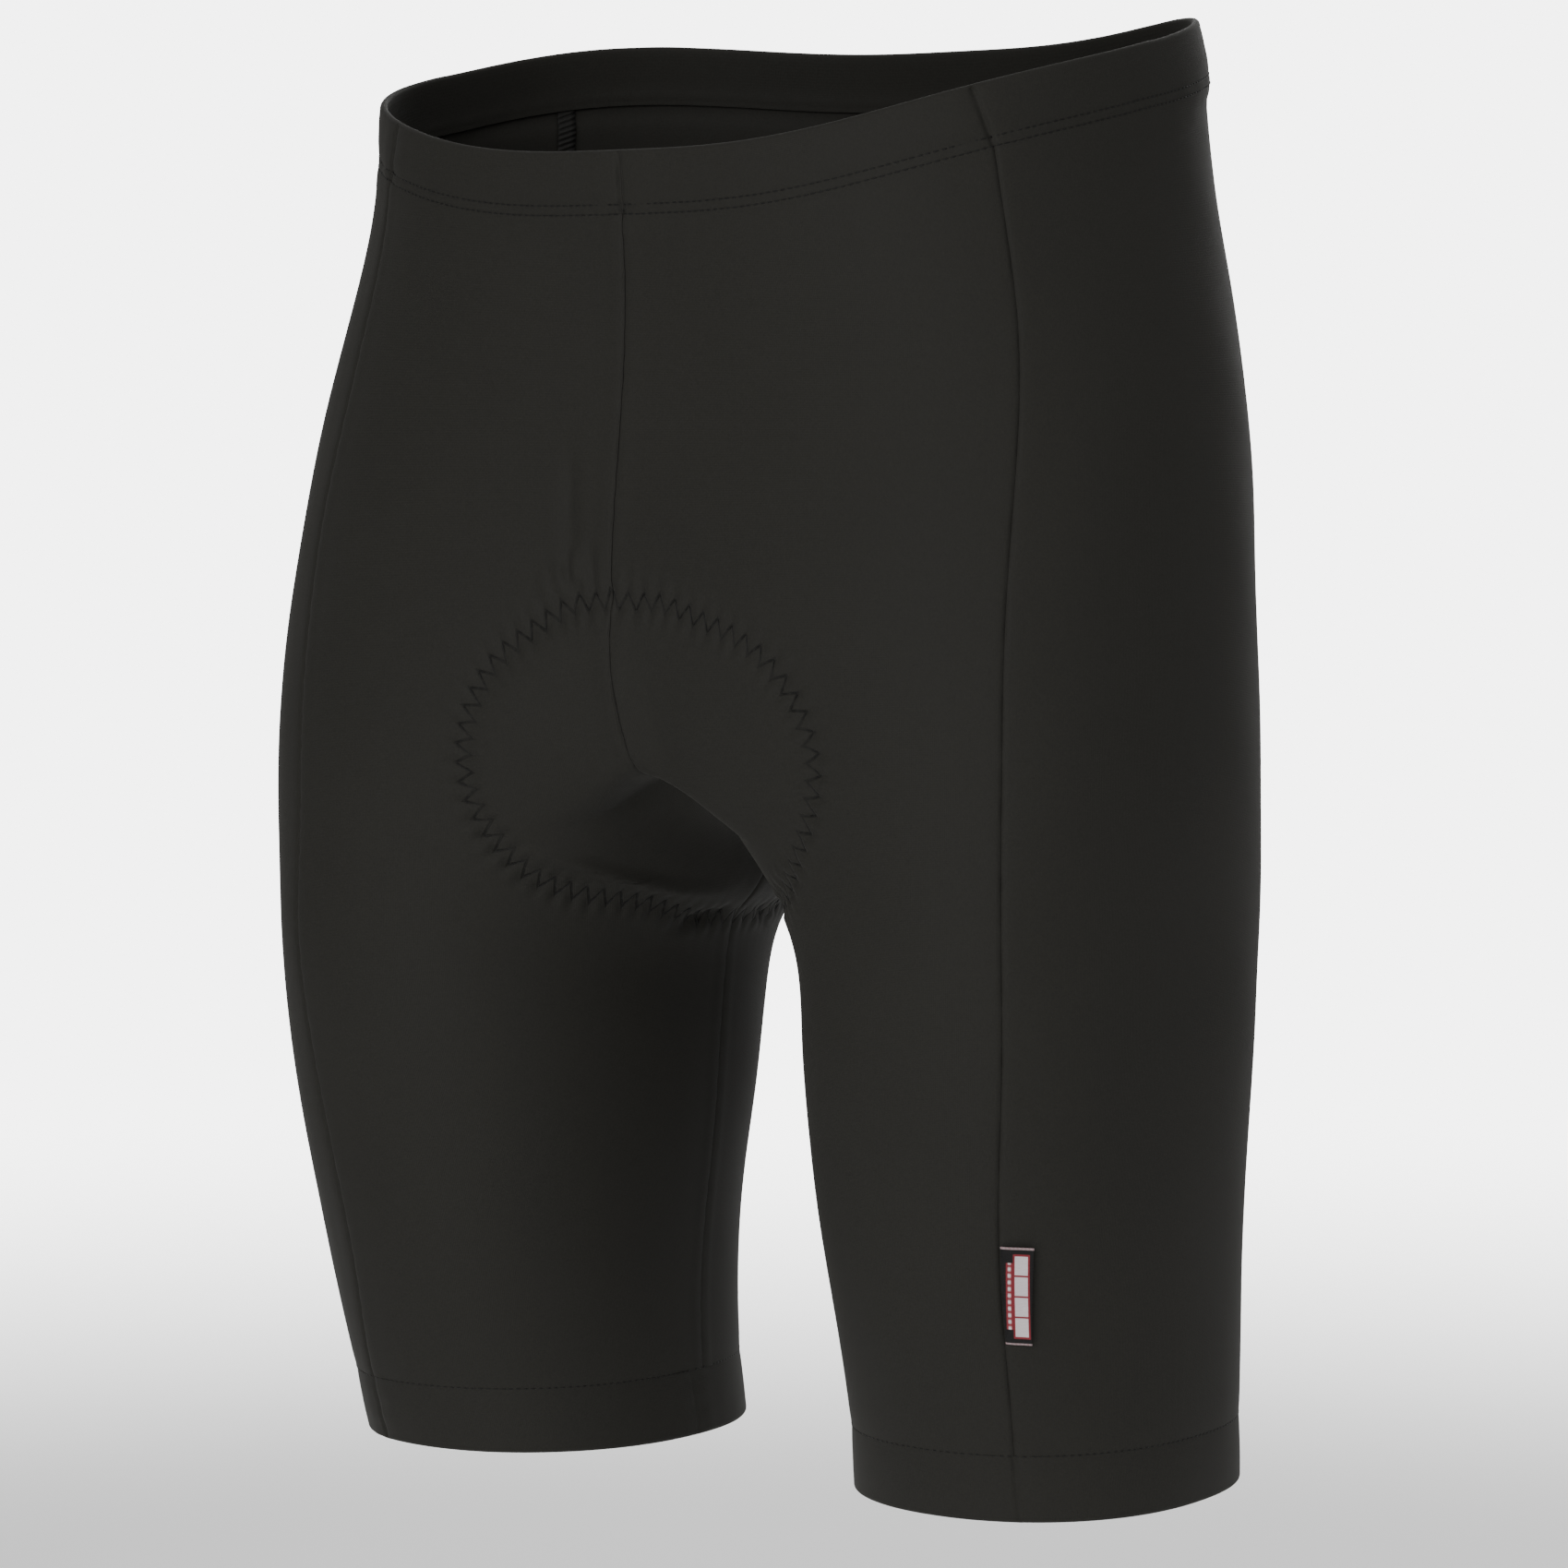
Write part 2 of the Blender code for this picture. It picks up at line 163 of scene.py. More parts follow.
@dataclass(frozen=True)
class WornForm:
    """The worn shape of the cloth's outer face, with the sizes that its solids are made from."""

    roundness: float = 2.15
    band_height: float = 0.020
    hem_height: float = 0.022
    hem_level: float = -0.4113
    level_rows_from: float = -0.17
    band_roll: float = 0.0018
    band_roll_from: float = 0.40
    band_roll_full: float = 0.62
    pad_swell: float = 0.0024
    pad_ramp: float = 20.0
    line_points: int = 1201
    rim_waves: tuple[float, ...] = (0.0425, -0.0217, -0.0061, 0.0004, -0.0018)
    pad_eye: tuple[float, float, float] = (0.0, 0.010, -0.130)
    sections: Curve = field(default_factory=lambda: Curve(
        ("height", "half_width", "leg_centre", "fold", "centre_y", "front", "back", "turn"),
        (
            (-0.430, 0.1546, 0.0973, 0.0077, 0.0087, 0.0644, 0.0689, 0.020),
            (-0.390, 0.1577, 0.1002, 0.0074, 0.0034, 0.0708, 0.0715, 0.034),
            (-0.345, 0.1614, 0.1007, 0.0077, -0.0021, 0.0776, 0.0741, 0.060),
            (-0.300, 0.1656, 0.1004, 0.0092, -0.0051, 0.0838, 0.0795, 0.097),
            (-0.265, 0.1673, 0.1007, 0.0125, -0.0061, 0.0884, 0.0859, 0.123),
            (-0.235, 0.1671, 0.0994, 0.0178, -0.0054, 0.0916, 0.0932, 0.170),
            (-0.205, 0.1684, 0.0891, 0.0255, -0.0030, 0.0941, 0.1016, 0.205),
            (-0.170, 0.1691, 0.0739, 0.0333, -0.0013, 0.0976, 0.1082, 0.190),
            (-0.120, 0.1664, 0.0568, 0.0379, 0.0000, 0.0994, 0.1111, 0.143),
            (-0.060, 0.1595, 0.0443, 0.0348, 0.0035, 0.0940, 0.1102, 0.103),
            (0.000, 0.1455, 0.0337, 0.0284, 0.0035, 0.0940, 0.1063, 0.046),
            (0.060, 0.1403, 0.0252, 0.0232, 0.0010, 0.0975, 0.1025, 0.032),
        ),
    ))
    seams: Curve = field(default_factory=lambda: Curve(
        ("height", "side_front", "side_back", "twist"),
        (
            (-0.420, 0.073, 0.058, 0.002),
            (-0.385, 0.076, 0.060, 0.003),
            (-0.355, 0.081, 0.062, 0.005),
            (-0.320, 0.085, 0.066, 0.006),
            (-0.280, 0.086, 0.072, 0.006),
            (-0.240, 0.085, 0.077, 0.006),
            (-0.195, 0.084, 0.079, 0.007),
            (-0.150, 0.083, 0.077, 0.007),
            (-0.080, 0.079, 0.074, 0.008),
            (-0.030, 0.076, 0.071, 0.009),
            (0.040, 0.077, 0.068, 0.009),
        ),
    ))
    pad: Curve = field(default_factory=lambda: Curve(
        ("along", "half_width"),
        (
            (-106.0, 16.0), (-98.0, 35.0), (-84.0, 47.0), (-68.0, 46.0), (-52.0, 35.0), (-36.0, 23.0),
            (-18.0, 15.5), (0.0, 13.5), (14.0, 14.0), (26.0, 16.0), (37.0, 20.5), (48.0, 30.5),
            (60.0, 39.0), (72.0, 39.0), (83.0, 30.0), (91.0, 15.0),
        ),
    ))

    def oval(self, height: np.ndarray, share: np.ndarray) -> np.ndarray:
        """Points of the form on the wearer's left.

        Args:
            height: Height of each point.
            share: Share of the way round, 0 at the inner front and 1 at the inner back.

        Returns:
            The points, one a row.
        """
        height = height + 0.0 * share
        form = self.sections(height)
        reach = np.hypot(form.half_width, form.fold) - form.leg_centre
        inner = np.clip((form.leg_centre - form.fold) / reach, -1.0, 1.0)
        start = np.arccos(np.sign(inner) * np.abs(inner) ** (self.roundness / 2.0))
        angle = start + 2.0 * (np.pi - start) * share
        across = np.sign(np.cos(angle)) * np.abs(np.cos(angle)) ** (2.0 / self.roundness)
        along = np.sign(np.sin(angle)) * np.abs(np.sin(angle)) ** (2.0 / self.roundness)
        depth = np.where(along > 0.0, form.front, form.back)
        x = np.sqrt(np.maximum((form.leg_centre - reach * across) ** 2 - form.fold**2, 0.0))
        y = form.centre_y - depth * along + form.turn * reach * across
        return np.stack([x, y, height], axis=-1)

    def beyond(self, point: np.ndarray) -> np.ndarray:
        """Below 0 inside the form and above 0 outside."""
        form = self.sections(point[..., 2])
        reach = np.hypot(form.half_width, form.fold) - form.leg_centre
        across = np.hypot(point[..., 0], form.fold) - form.leg_centre
        along = point[..., 1] - form.centre_y + form.turn * across
        depth = np.where(along < 0.0, form.front, form.back)
        wide, deep = np.abs(across) / reach, np.abs(along) / depth
        return wide**self.roundness + deep**self.roundness - 1.0

    def slope(self, point: np.ndarray) -> np.ndarray:
        """Rate at which beyond() grows along X, Y and Z."""
        small = 0.0002
        slope = np.zeros_like(point)
        for axis in range(3):
            shift = np.zeros(3)
            shift[axis] = small
            growth = self.beyond(point + shift) - self.beyond(point - shift)
            slope[..., axis] = growth / (2.0 * small)
        return slope

    def outward(self, point: np.ndarray) -> np.ndarray:
        """Unit normal of the form."""
        slope = self.slope(point)
        return slope / np.linalg.norm(slope, axis=-1, keepdims=True)

    def settle(self, point: np.ndarray) -> np.ndarray:
        """Points brought onto the form along its slope."""
        for _ in range(5):
            slope = self.slope(point)
            size = np.maximum((slope**2).sum(axis=-1), 1e-9)
            point = point - slope * (self.beyond(point) / size)[..., None]
        return point

    def pad_place(self, point: np.ndarray) -> tuple[np.ndarray, np.ndarray]:
        """Degrees along and across the seat pad of points, as seen from inside the seat."""
        arm = point - np.array(self.pad_eye)
        arm = arm / np.linalg.norm(arm, axis=-1, keepdims=True)
        away = np.degrees(np.arccos(np.clip(-arm[..., 2], -1.0, 1.0)))
        round_down = np.arctan2(arm[..., 0], -arm[..., 1])
        return away * np.cos(round_down), away * np.sin(round_down)

    def pad_depth(self, point: np.ndarray) -> np.ndarray:
        """0 outside the seat pad, 1 where it is thick."""
        along, across = self.pad_place(point)
        side = (self.pad(along).half_width - np.abs(across)) / self.pad_ramp
        front = (self.pad.at[-1] + 4.0 - along) / self.pad_ramp
        back = (along - self.pad.at[0] + 4.0) / self.pad_ramp
        return smooth(side) * smooth(front) * smooth(back)

    def pad_point(self, along: np.ndarray, across: np.ndarray) -> np.ndarray:
        """Points of the form seen from inside the seat.

        Args:
            along: Degrees up from straight down, positive to the front.
            across: Degrees to the wearer's left.

        Returns:
            The points, one a row.
        """
        away = np.radians(np.hypot(along, across))
        round_down = np.arctan2(across, along)
        aside = np.sin(away)
        arm = np.stack([aside * np.sin(round_down), -aside * np.cos(round_down), -np.cos(away)], -1)
        eye = np.array(self.pad_eye)
        far = np.full(len(arm), 0.002)
        inside = self.beyond(eye + arm * far[:, None]) < 0.0
        while np.any(inside):
            far = far + 0.002 * inside
            inside = self.beyond(eye + arm * far[:, None]) < 0.0
        near = far - 0.002
        for _ in range(24):
            middle = 0.5 * (near + far)
            inside = self.beyond(eye + arm * middle[:, None]) < 0.0
            near = np.where(inside, middle, near)
            far = np.where(inside, far, middle)
        return eye + arm * near[:, None]

    def way_round(self) -> np.ndarray:
        """Shares from the inner front to the inner back, close together where the form turns fast."""
        return 0.5 - 0.5 * np.cos(np.pi * np.linspace(0.0, 1.0, self.line_points))

    def rim_height(self, share: np.ndarray) -> np.ndarray:
        """Height of the waist edge."""
        return sum(wave * np.cos(n * np.pi * share) for n, wave in enumerate(self.rim_waves))

    def row_height(self, level: float | np.ndarray, share: np.ndarray) -> np.ndarray:
        """Height along one row of the panels, which tilts with the waist edge and evens out below."""
        top = self.rim_height(share) - self.band_height
        return level + top * smooth((level - self.level_rows_from) / -self.level_rows_from)

    def crotch_height(self) -> float:
        """Height where the two legs part."""
        height = np.linspace(self.sections.at[0], self.sections.at[-1], 4001)
        form = self.sections(height)
        joined = 2.0 * form.leg_centre - np.hypot(form.half_width, form.fold) < form.fold
        return float(height[joined][0])

    def seam_lengths(
        self, height: float, side: Side, share: np.ndarray, length: np.ndarray
    ) -> tuple[float, ...]:
        """Where the seams of a half lie along a row.

        Args:
            height: Height of the row at the side line.
            side: Half of the shorts.
            share: Shares of points along the row.
            length: Length along the row at each of them.

        Returns:
            Lengths of the inner front, side front, side back and inner back seams.
        """
        side_line = float(np.interp(0.5, share, length))
        seams = self.seams(height)
        ahead = side_line - float(seams.side_front) + side.value * float(seams.twist)
        behind = side_line + float(seams.side_back) + side.value * float(seams.twist)
        return (float(length[0]), ahead, behind, float(length[-1]))

    def roll(self, share: np.ndarray) -> np.ndarray:
        """How far the waistband's lower edge rolls out."""
        reach = self.band_roll_full - self.band_roll_from
        return self.band_roll * smooth((share - self.band_roll_from) / reach)


@dataclass(frozen=True)
class Fold:
    """One listed soft crease: a ridge where rise is above 0 and a trough where it is below.

    The path has the side (1 left, -1 right), the height and the share of the way round of a few points.
    """

    rise: float
    width: float
    path: tuple[tuple[float, float, float], ...]

    def line(self, form: WornForm) -> np.ndarray:
        """Close points along the crease."""
        knots = np.array([
            form.oval(np.array(height), np.array(share)) * np.array([side, 1.0, 1.0])
            for side, height, share in self.path
        ])
        at = lengths(knots)
        steps = np.linspace(0.0, at[-1], 33)
        return read(steps, at, knots)

    def lift(self, point: np.ndarray, form: WornForm) -> np.ndarray:
        """Lift of the crease at points of the cloth.

        Args:
            point: Points of the form.
            form: The worn form.

        Returns:
            The lift at each point, fading out at both ends.
        """
        line = self.line(form)
        lift = np.zeros(len(point))
        reach = 0.6 * lengths(line)[-1] + 3.0 * self.width
        near = np.linalg.norm(point - line.mean(axis=0), axis=1) < reach
        if not near.any():
            return lift
        apart = np.linalg.norm(point[near, None, :] - line[None, :, :], axis=2)
        nearest = apart.argmin(axis=1)
        along = np.sin(np.pi * (nearest + 0.5) / len(line)) ** 0.8
        lift[near] = self.rise * along * bell(apart.min(axis=1), self.width)
        return lift


@dataclass
class Places:
    """Points of the cloth on one half, with what the relief needs to know of them."""

    height: np.ndarray
    share: np.ndarray
    side: np.ndarray
    seam: np.ndarray

    def point(self, form: WornForm) -> np.ndarray:
        """The points on the form, on the wearer's left."""
        return form.oval(self.height, self.share)


@dataclass
class PadLine:
    """The zigzag line that holds the seat pad, down one half from the centre front to the centre back.

    The pad sits a little to the wearer's left, so its front is wider on that half.
    """

    form: WornForm
    side: Side
    tooth: float = 0.0062
    half_width: float = 0.0029
    spacing: float = 0.0009
    front_widths: dict[Side, float] = field(default_factory=lambda: {Side.LEFT: 1.07, Side.RIGHT: 0.84})
    corners: tuple[tuple[float, float], ...] = (
        (0.0, 91.8), (9.0, 90.8), (18.0, 88.6), (30.0, 81.5), (38.0, 73.0), (40.0, 62.0), (36.0, 54.0),
        (29.0, 47.0), (20.5, 37.0), (15.0, 25.0), (13.7, 10.0), (13.5, 0.0), (15.0, -15.0), (21.0, -33.0),
        (33.0, -50.0), (44.0, -64.0), (48.0, -78.0), (44.0, -90.0), (32.0, -101.0), (16.0, -107.0),
        (0.0, -108.5),
    )
    point: np.ndarray = field(init=False)
    length: np.ndarray = field(init=False)
    ahead: np.ndarray = field(init=False)
    away: np.ndarray = field(init=False)

    def __post_init__(self) -> None:
        """Lay the line on the form, evenly spaced."""
        corners = np.array(self.corners)
        at = np.linspace(0.0, 1.0, len(corners))
        table = tuple((float(a), float(x), float(y)) for a, (x, y) in zip(at, corners))
        curve = Curve(("at", "across", "along"), table)
        fine = curve(np.linspace(0.0, 1.0, 900))
        front = smooth((fine.along - 30.0) / 30.0)
        across = np.maximum(fine.across, 0.0) * (1.0 + (self.front_widths[self.side] - 1.0) * front)
        line = self.form.pad_point(fine.along, across)
        total = lengths(line)
        steps = int(round(total[-1] / self.spacing))
        self.length = np.linspace(0.0, total[-1], steps + 1)
        self.point = read(self.length, total, line)
        self.ahead = np.gradient(self.point, axis=0)
        self.ahead /= np.linalg.norm(self.ahead, axis=1, keepdims=True)
        self.away = np.cross(self.ahead, self.form.outward(self.point))
        self.away /= np.linalg.norm(self.away, axis=1, keepdims=True)
        if self.away[len(self.away) // 8, 0] < 0.0:
            self.away = -self.away

    def measure(self, point: np.ndarray) -> tuple[np.ndarray, np.ndarray]:
        """Length along the line and distance outside it of points on the wearer's left.

        Args:
            point: Points of the form.

        Returns:
            The length along the line, and the distance from it, below 0 on the pad.
        """
        nearest = np.zeros(len(point), dtype=int)
        for first in range(0, len(point), 4000):
            part = point[first:first + 4000]
            nearest[first:first + 4000] = (
                (part[:, None, :] - self.point[None, :, :]) ** 2
            ).sum(axis=2).argmin(axis=1)
        arm = point - self.point[nearest]
        along = self.length[nearest] + (arm * self.ahead[nearest]).sum(axis=1)
        return along, (arm * self.away[nearest]).sum(axis=1)

    def place(self, along: np.ndarray, out: np.ndarray) -> np.ndarray:
        """Points of the form at a length along the line and a distance outside it."""
        away = read(along, self.length, self.away)
        return self.form.settle(read(along, self.length, self.point) + away * out[:, None])


@dataclass
class Relief:
    """How the cloth stands off the worn form: seams, stitched lines, the pad's edge, creases and tension."""

    form: WornForm
    pad_lines: dict[Side, PadLine]
    folds: tuple[Fold, ...]
    groove: float = 0.00052
    groove_width: float = 0.00055
    ridge: float = 0.00022
    ridge_place: float = 0.0032
    ridge_width: float = 0.0022
    seam_pucker: float = 0.00009
    seam_pucker_pitch: float = 0.0085
    seam_pucker_width: float = 0.004
    band_row: float = 0.0170
    band_row_width: float = 0.0011
    band_edge_width: float = 0.0013
    row_dip: float = 0.00035
    elastic_crown: float = 0.00035
    crown_fade: float = 0.006
    band_swell: float = 0.00030
    band_swell_place: float = 0.0045
    band_swell_width: float = 0.0028
    roll_fade: float = 0.0065
    hem_dip: float = 0.0003
    hem_dip_width: float = 0.0030
    hem_flare: float = 0.0004
    hem_flare_fade: float = 0.016
    channel: float = 0.0008
    channel_width: float = 0.0032
    pad_crown: float = 0.0012
    pad_crown_fade: float = 0.012
    pucker: float = 0.00048
    dent_width: float = 0.0016
    ray_fade: float = 0.0040
    rib_fade: float = 0.0030
    keel: float = 0.0016
    keel_width: float = 0.0085
    sway: float = 0.00028
    cleft: float = 0.0195
    cleft_along: tuple[float, ...] = (-30.0, 0.0, 10.0, 22.0, 33.0, 40.0, 49.0, 60.0)
    cleft_left: tuple[float, ...] = (0.0080, 0.0090, 0.0095, 0.0140, 0.0220, 0.0280, 0.0260, 0.0060)
    cleft_right: tuple[float, ...] = (0.0080, 0.0100, 0.0115, 0.0140, 0.0170, 0.0200, 0.0200, 0.0050)

    def over(self, left: np.ndarray, side: np.ndarray) -> np.ndarray:
        """Lift away from the seams and stitched edges.

        Args:
            left: Points of the form, on the wearer's left.
            side: Sign of each point's own half.

        Returns:
            The lift of the cloth's outer face at each point.
        """
        worn = mirrored(left, side)
        lift = self.form.pad_swell * self.form.pad_depth(left)
        lift += self.pad_edge(left, side)
        lift += self.crotch(worn)
        lift += self.tension(worn)
        for fold in self.folds:
            lift += fold.lift(worn, self.form)
        return lift

    def lift(self, places: Places) -> np.ndarray:
        """Lift off the form.

        Args:
            places: Points of the cloth.

        Returns:
            The lift of the cloth's outer face at each point.
        """
        left = places.point(self.form)
        worn = mirrored(left, places.side)
        sewn = self.over(left, places.side) + self.seam_groove(places, worn)
        return sewn + self.stitched_edges(places, worn)

    def seam_groove(self, places: Places, worn: np.ndarray) -> np.ndarray:
        """Fine groove where two panels meet, with the turnings' soft rise and small puckers beside it."""
        apart = np.abs(places.seam)
        uneven = 1.0 + 0.35 * np.sin(worn[:, 2] * 410.0 + worn[:, 0] * 90.0) * np.sin(worn[:, 2] * 173.0)
        uneven *= 1.0 - 0.7 * smooth((-0.225 - worn[:, 2]) / 0.012) * (np.abs(worn[:, 0]) < 0.065)
        uneven *= 1.0 + (self.form.rim_height(places.share) - places.height < self.form.band_height - 0.0002)
        rise = self.ridge * bell(apart - self.ridge_place, self.ridge_width)
        gather = np.sin(worn[:, 2] * 2.0 * np.pi / self.seam_pucker_pitch + 30.0 * worn[:, 1])
        pucker = self.seam_pucker * gather * bell(apart, self.seam_pucker_width)
        return -self.groove * uneven * bell(apart, self.groove_width) + rise + pucker

    def stitched_edges(self, places: Places, worn: np.ndarray) -> np.ndarray:
        """Dips along the stitched rows of waistband and hems, the elastic's crown, and the rolled edge."""
        drop = self.form.rim_height(places.share) - places.height
        way = places.side * self.form.oval(places.height, places.share)[:, 0]
        fine = np.sin(way * 640.0 + 3.0 * np.sin(way * 97.0))
        gather = 0.6 + 0.4 * fine * np.sin(way * 151.0 + worn[:, 1] * 330.0)
        band = self.form.band_height
        rows = bell(drop - self.band_row, self.band_row_width) + bell(drop - band, self.band_edge_width)
        crown = self.elastic_crown * smooth(drop / self.crown_fade)
        crown = crown * smooth((self.band_row - drop) / self.crown_fade)
        below = self.band_swell * bell(drop - band - self.band_swell_place, self.band_swell_width)
        over = np.maximum(drop - band, 0.0)
        roll = self.form.roll(places.share) * np.where(
            drop < band, smooth(drop / band), 1.0 - smooth(over / self.roll_fade)
        )
        hem = places.height - (self.form.hem_level + self.form.hem_height)
        hem_dip = self.hem_dip * bell(hem, self.hem_dip_width) * (0.75 + 0.25 * gather)
        flare = self.hem_flare * smooth(-hem / self.hem_flare_fade)
        return crown + below * gather + roll - self.row_dip * rows * gather - hem_dip + flare

    def sewn_place(self, left: np.ndarray, side: np.ndarray) -> tuple[np.ndarray, np.ndarray]:
        """Length along the pad's stitching and distance outside it, on each point's own half."""
        along, out = np.zeros(len(left)), np.full(len(left), 0.1)
        for half, line in self.pad_lines.items():
            mine = side == half.value
            if mine.any():
                along[mine], out[mine] = line.measure(left[mine])
        return along, out

    def pad_edge(self, left: np.ndarray, side: np.ndarray) -> np.ndarray:
        """Sewn channel round the seat pad, the pad's crown inside it, and a small pucker at each tooth."""
        line = self.pad_lines[Side.LEFT]
        along, out = self.sewn_place(left, side)
        near = np.abs(out) < 0.03
        turn = np.cos(2.0 * np.pi * along / line.tooth)
        uneven = 1.0 + 0.45 * np.sin(along * 131.0) * np.sin(along * 57.0 + 1.0)
        half = line.half_width
        outer = bell(out - half, self.dent_width) * (0.5 + 0.5 * turn)
        inner = bell(out + half, self.dent_width) * (0.5 - 0.5 * turn)
        rays = turn * np.exp(-np.maximum(out - half, 0.0) / self.ray_fade) * (out > half)
        ribs = -turn * np.exp(-np.maximum(-out - half, 0.0) / self.rib_fade) * (out < -half)
        puckers = -self.pucker * uneven * (outer + inner + 0.8 * (rays + ribs))
        puckers *= 0.35 + 0.65 * smooth((left[:, 1] + 0.015) / -0.05)
        channel = -self.channel * (0.8 + 0.2 * uneven) * bell(out, self.channel_width)
        ahead = 0.35 + 0.65 * smooth(left[:, 1] / -0.06)
        crown = self.pad_crown * ahead * smooth(-out / self.pad_crown_fade)
        crown = crown * self.form.pad_depth(left) ** 0.25
        return near * (puckers + channel) + crown

    def crotch(self, worn: np.ndarray) -> np.ndarray:
        """Soft ridge down the front of the centre seam, and the cleft drawn up between the legs."""
        along, _ = self.form.pad_place(worn)
        front = smooth((along - 54.0) / 14.0) * smooth((98.0 - along) / 30.0)
        under = smooth((63.0 - along) / 15.0) * smooth((along + 45.0) / 40.0)
        apart = worn[:, 0]
        at = self.cleft_along
        left, right = np.interp(along, at, self.cleft_left), np.interp(along, at, self.cleft_right)
        reach = np.where(apart > 0.0, left, right)
        keel = self.keel * front * bell(apart, self.keel_width)
        return keel - self.cleft * under * bell(apart, reach)

    def tension(self, worn: np.ndarray) -> np.ndarray:
        """Broad, faint unevenness of stretched cloth."""
        x, y, z = worn.T
        waves = np.sin(47.0 * x + 31.0 * z + 0.7) * np.sin(38.0 * y - 24.0 * z)
        waves += 0.6 * np.sin(93.0 * z + 41.0 * y + 1.9) * np.sin(71.0 * x - 52.0 * y + 0.4)
        return self.sway * waves

    def face(self, places: Places, sink: np.ndarray | float = 0.0) -> np.ndarray:
        """Points of the cloth's outer face.

        Args:
            places: Points of the cloth.
            sink: How far under the outer face each point lies.

        Returns:
            The points on their own sides.
        """
        left = places.point(self.form)
        point = left + self.form.outward(left) * (self.lift(places) - sink)[:, None]
        return mirrored(point, places.side)


def crowd(length: float, count: int, marks: tuple[tuple[float, float, float], ...]) -> np.ndarray:
    """Places from 0 to a length that crowd where detail is needed.

    Args:
        length: The whole length.
        count: Number of steps.
        marks: Place, width and strength of each crowding.

    Returns:
        The places, one more than the steps.
    """
    fine = np.linspace(0.0, length, 1601)
    density = np.ones_like(fine)
    for at, width, strength in marks:
        density += strength * bell(fine - at, width)
    total = np.concatenate([[0.0], np.cumsum(0.5 * (density[1:] + density[:-1]))])
    return np.interp(np.linspace(0.0, total[-1], count + 1), total, fine)


def fresh_grid(columns: int, rows: int) -> tuple[bmesh.types.BMesh, np.ndarray, np.ndarray]:
    """New flat grid, with the column and row of each of its corners, row 0 at its top."""
    builder = bmesh.new()
    bmesh.ops.create_grid(builder, x_segments=columns, y_segments=rows, size=0.5)
    flat = np.array([vert.co for vert in builder.verts])
    column = np.rint((flat[:, 0] + 0.5) * columns).astype(int)
    row = np.rint((0.5 - flat[:, 1]) * rows).astype(int)
    return builder, column, row


def lay(builder: bmesh.types.BMesh, points: np.ndarray, maps: dict[str, np.ndarray]) -> None:
    """Move a grid's corners into place and keep its maps.

    Args:
        builder: The grid.
        points: Place of each corner.
        maps: UV map names, with a pair of values for each corner.
    """
    builder.verts.index_update()
    for name, values in maps.items():
        layer = builder.loops.layers.uv.new(name)
        pairs = values.tolist()
        for face in builder.faces:
            for loop in face.loops:
                loop[layer].uv = pairs[loop.vert.index]
    for vert, point in zip(builder.verts, points.tolist()):
        vert.co = point


def add(name: str, data: bpy.types.ID) -> bpy.types.Object:
    """New object in the scene."""
    made = bpy.data.objects.new(name, data)
    bpy.context.scene.collection.objects.link(made)
    return made


def make_mesh(name: str, builder: bmesh.types.BMesh, material: bpy.types.Material) -> bpy.types.Mesh:
    """Mesh of a filled bmesh, which is used up."""
    mesh = bpy.data.meshes.new(name)
    builder.to_mesh(mesh)
    builder.free()
    mesh.materials.append(material)
    return mesh


def make_piece(name: str, builder: bmesh.types.BMesh, material: bpy.types.Material) -> bpy.types.Object:
    """New smooth object from a filled bmesh.

    Args:
        name: Name of the piece.
        builder: Its mesh, which is used up.
        material: Its finish.

    Returns:
        The object, riding on the shorts.
    """
    mesh = make_mesh(name, builder, material)
    mesh.shade_smooth()
    piece = add(name, mesh)
    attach(piece, "root")
    log.info("%s: %d faces", name, len(mesh.polygons))
    return piece


def face_outwards(builder: bmesh.types.BMesh, form: WornForm) -> None:
    """Turn an open sheet's faces away from the body."""
    builder.normal_update()
    centre = np.array([face.calc_center_median() for face in builder.faces])
    normal = np.array([face.normal for face in builder.faces])
    side = np.stack([np.sign(centre[:, 0]), np.ones(len(centre)), np.ones(len(centre))], axis=-1)
    outward = form.outward(centre * side) * side
    if (normal * outward).sum() < 0.0:
        bmesh.ops.reverse_faces(builder, faces=builder.faces[:])


def turn_outwards(builder: bmesh.types.BMesh) -> None:
    """Point a closed piece's faces outwards."""
    bmesh.ops.recalc_face_normals(builder, faces=builder.faces[:])
    if builder.calc_volume(signed=True) < 0.0:
        bmesh.ops.reverse_faces(builder, faces=builder.faces[:])


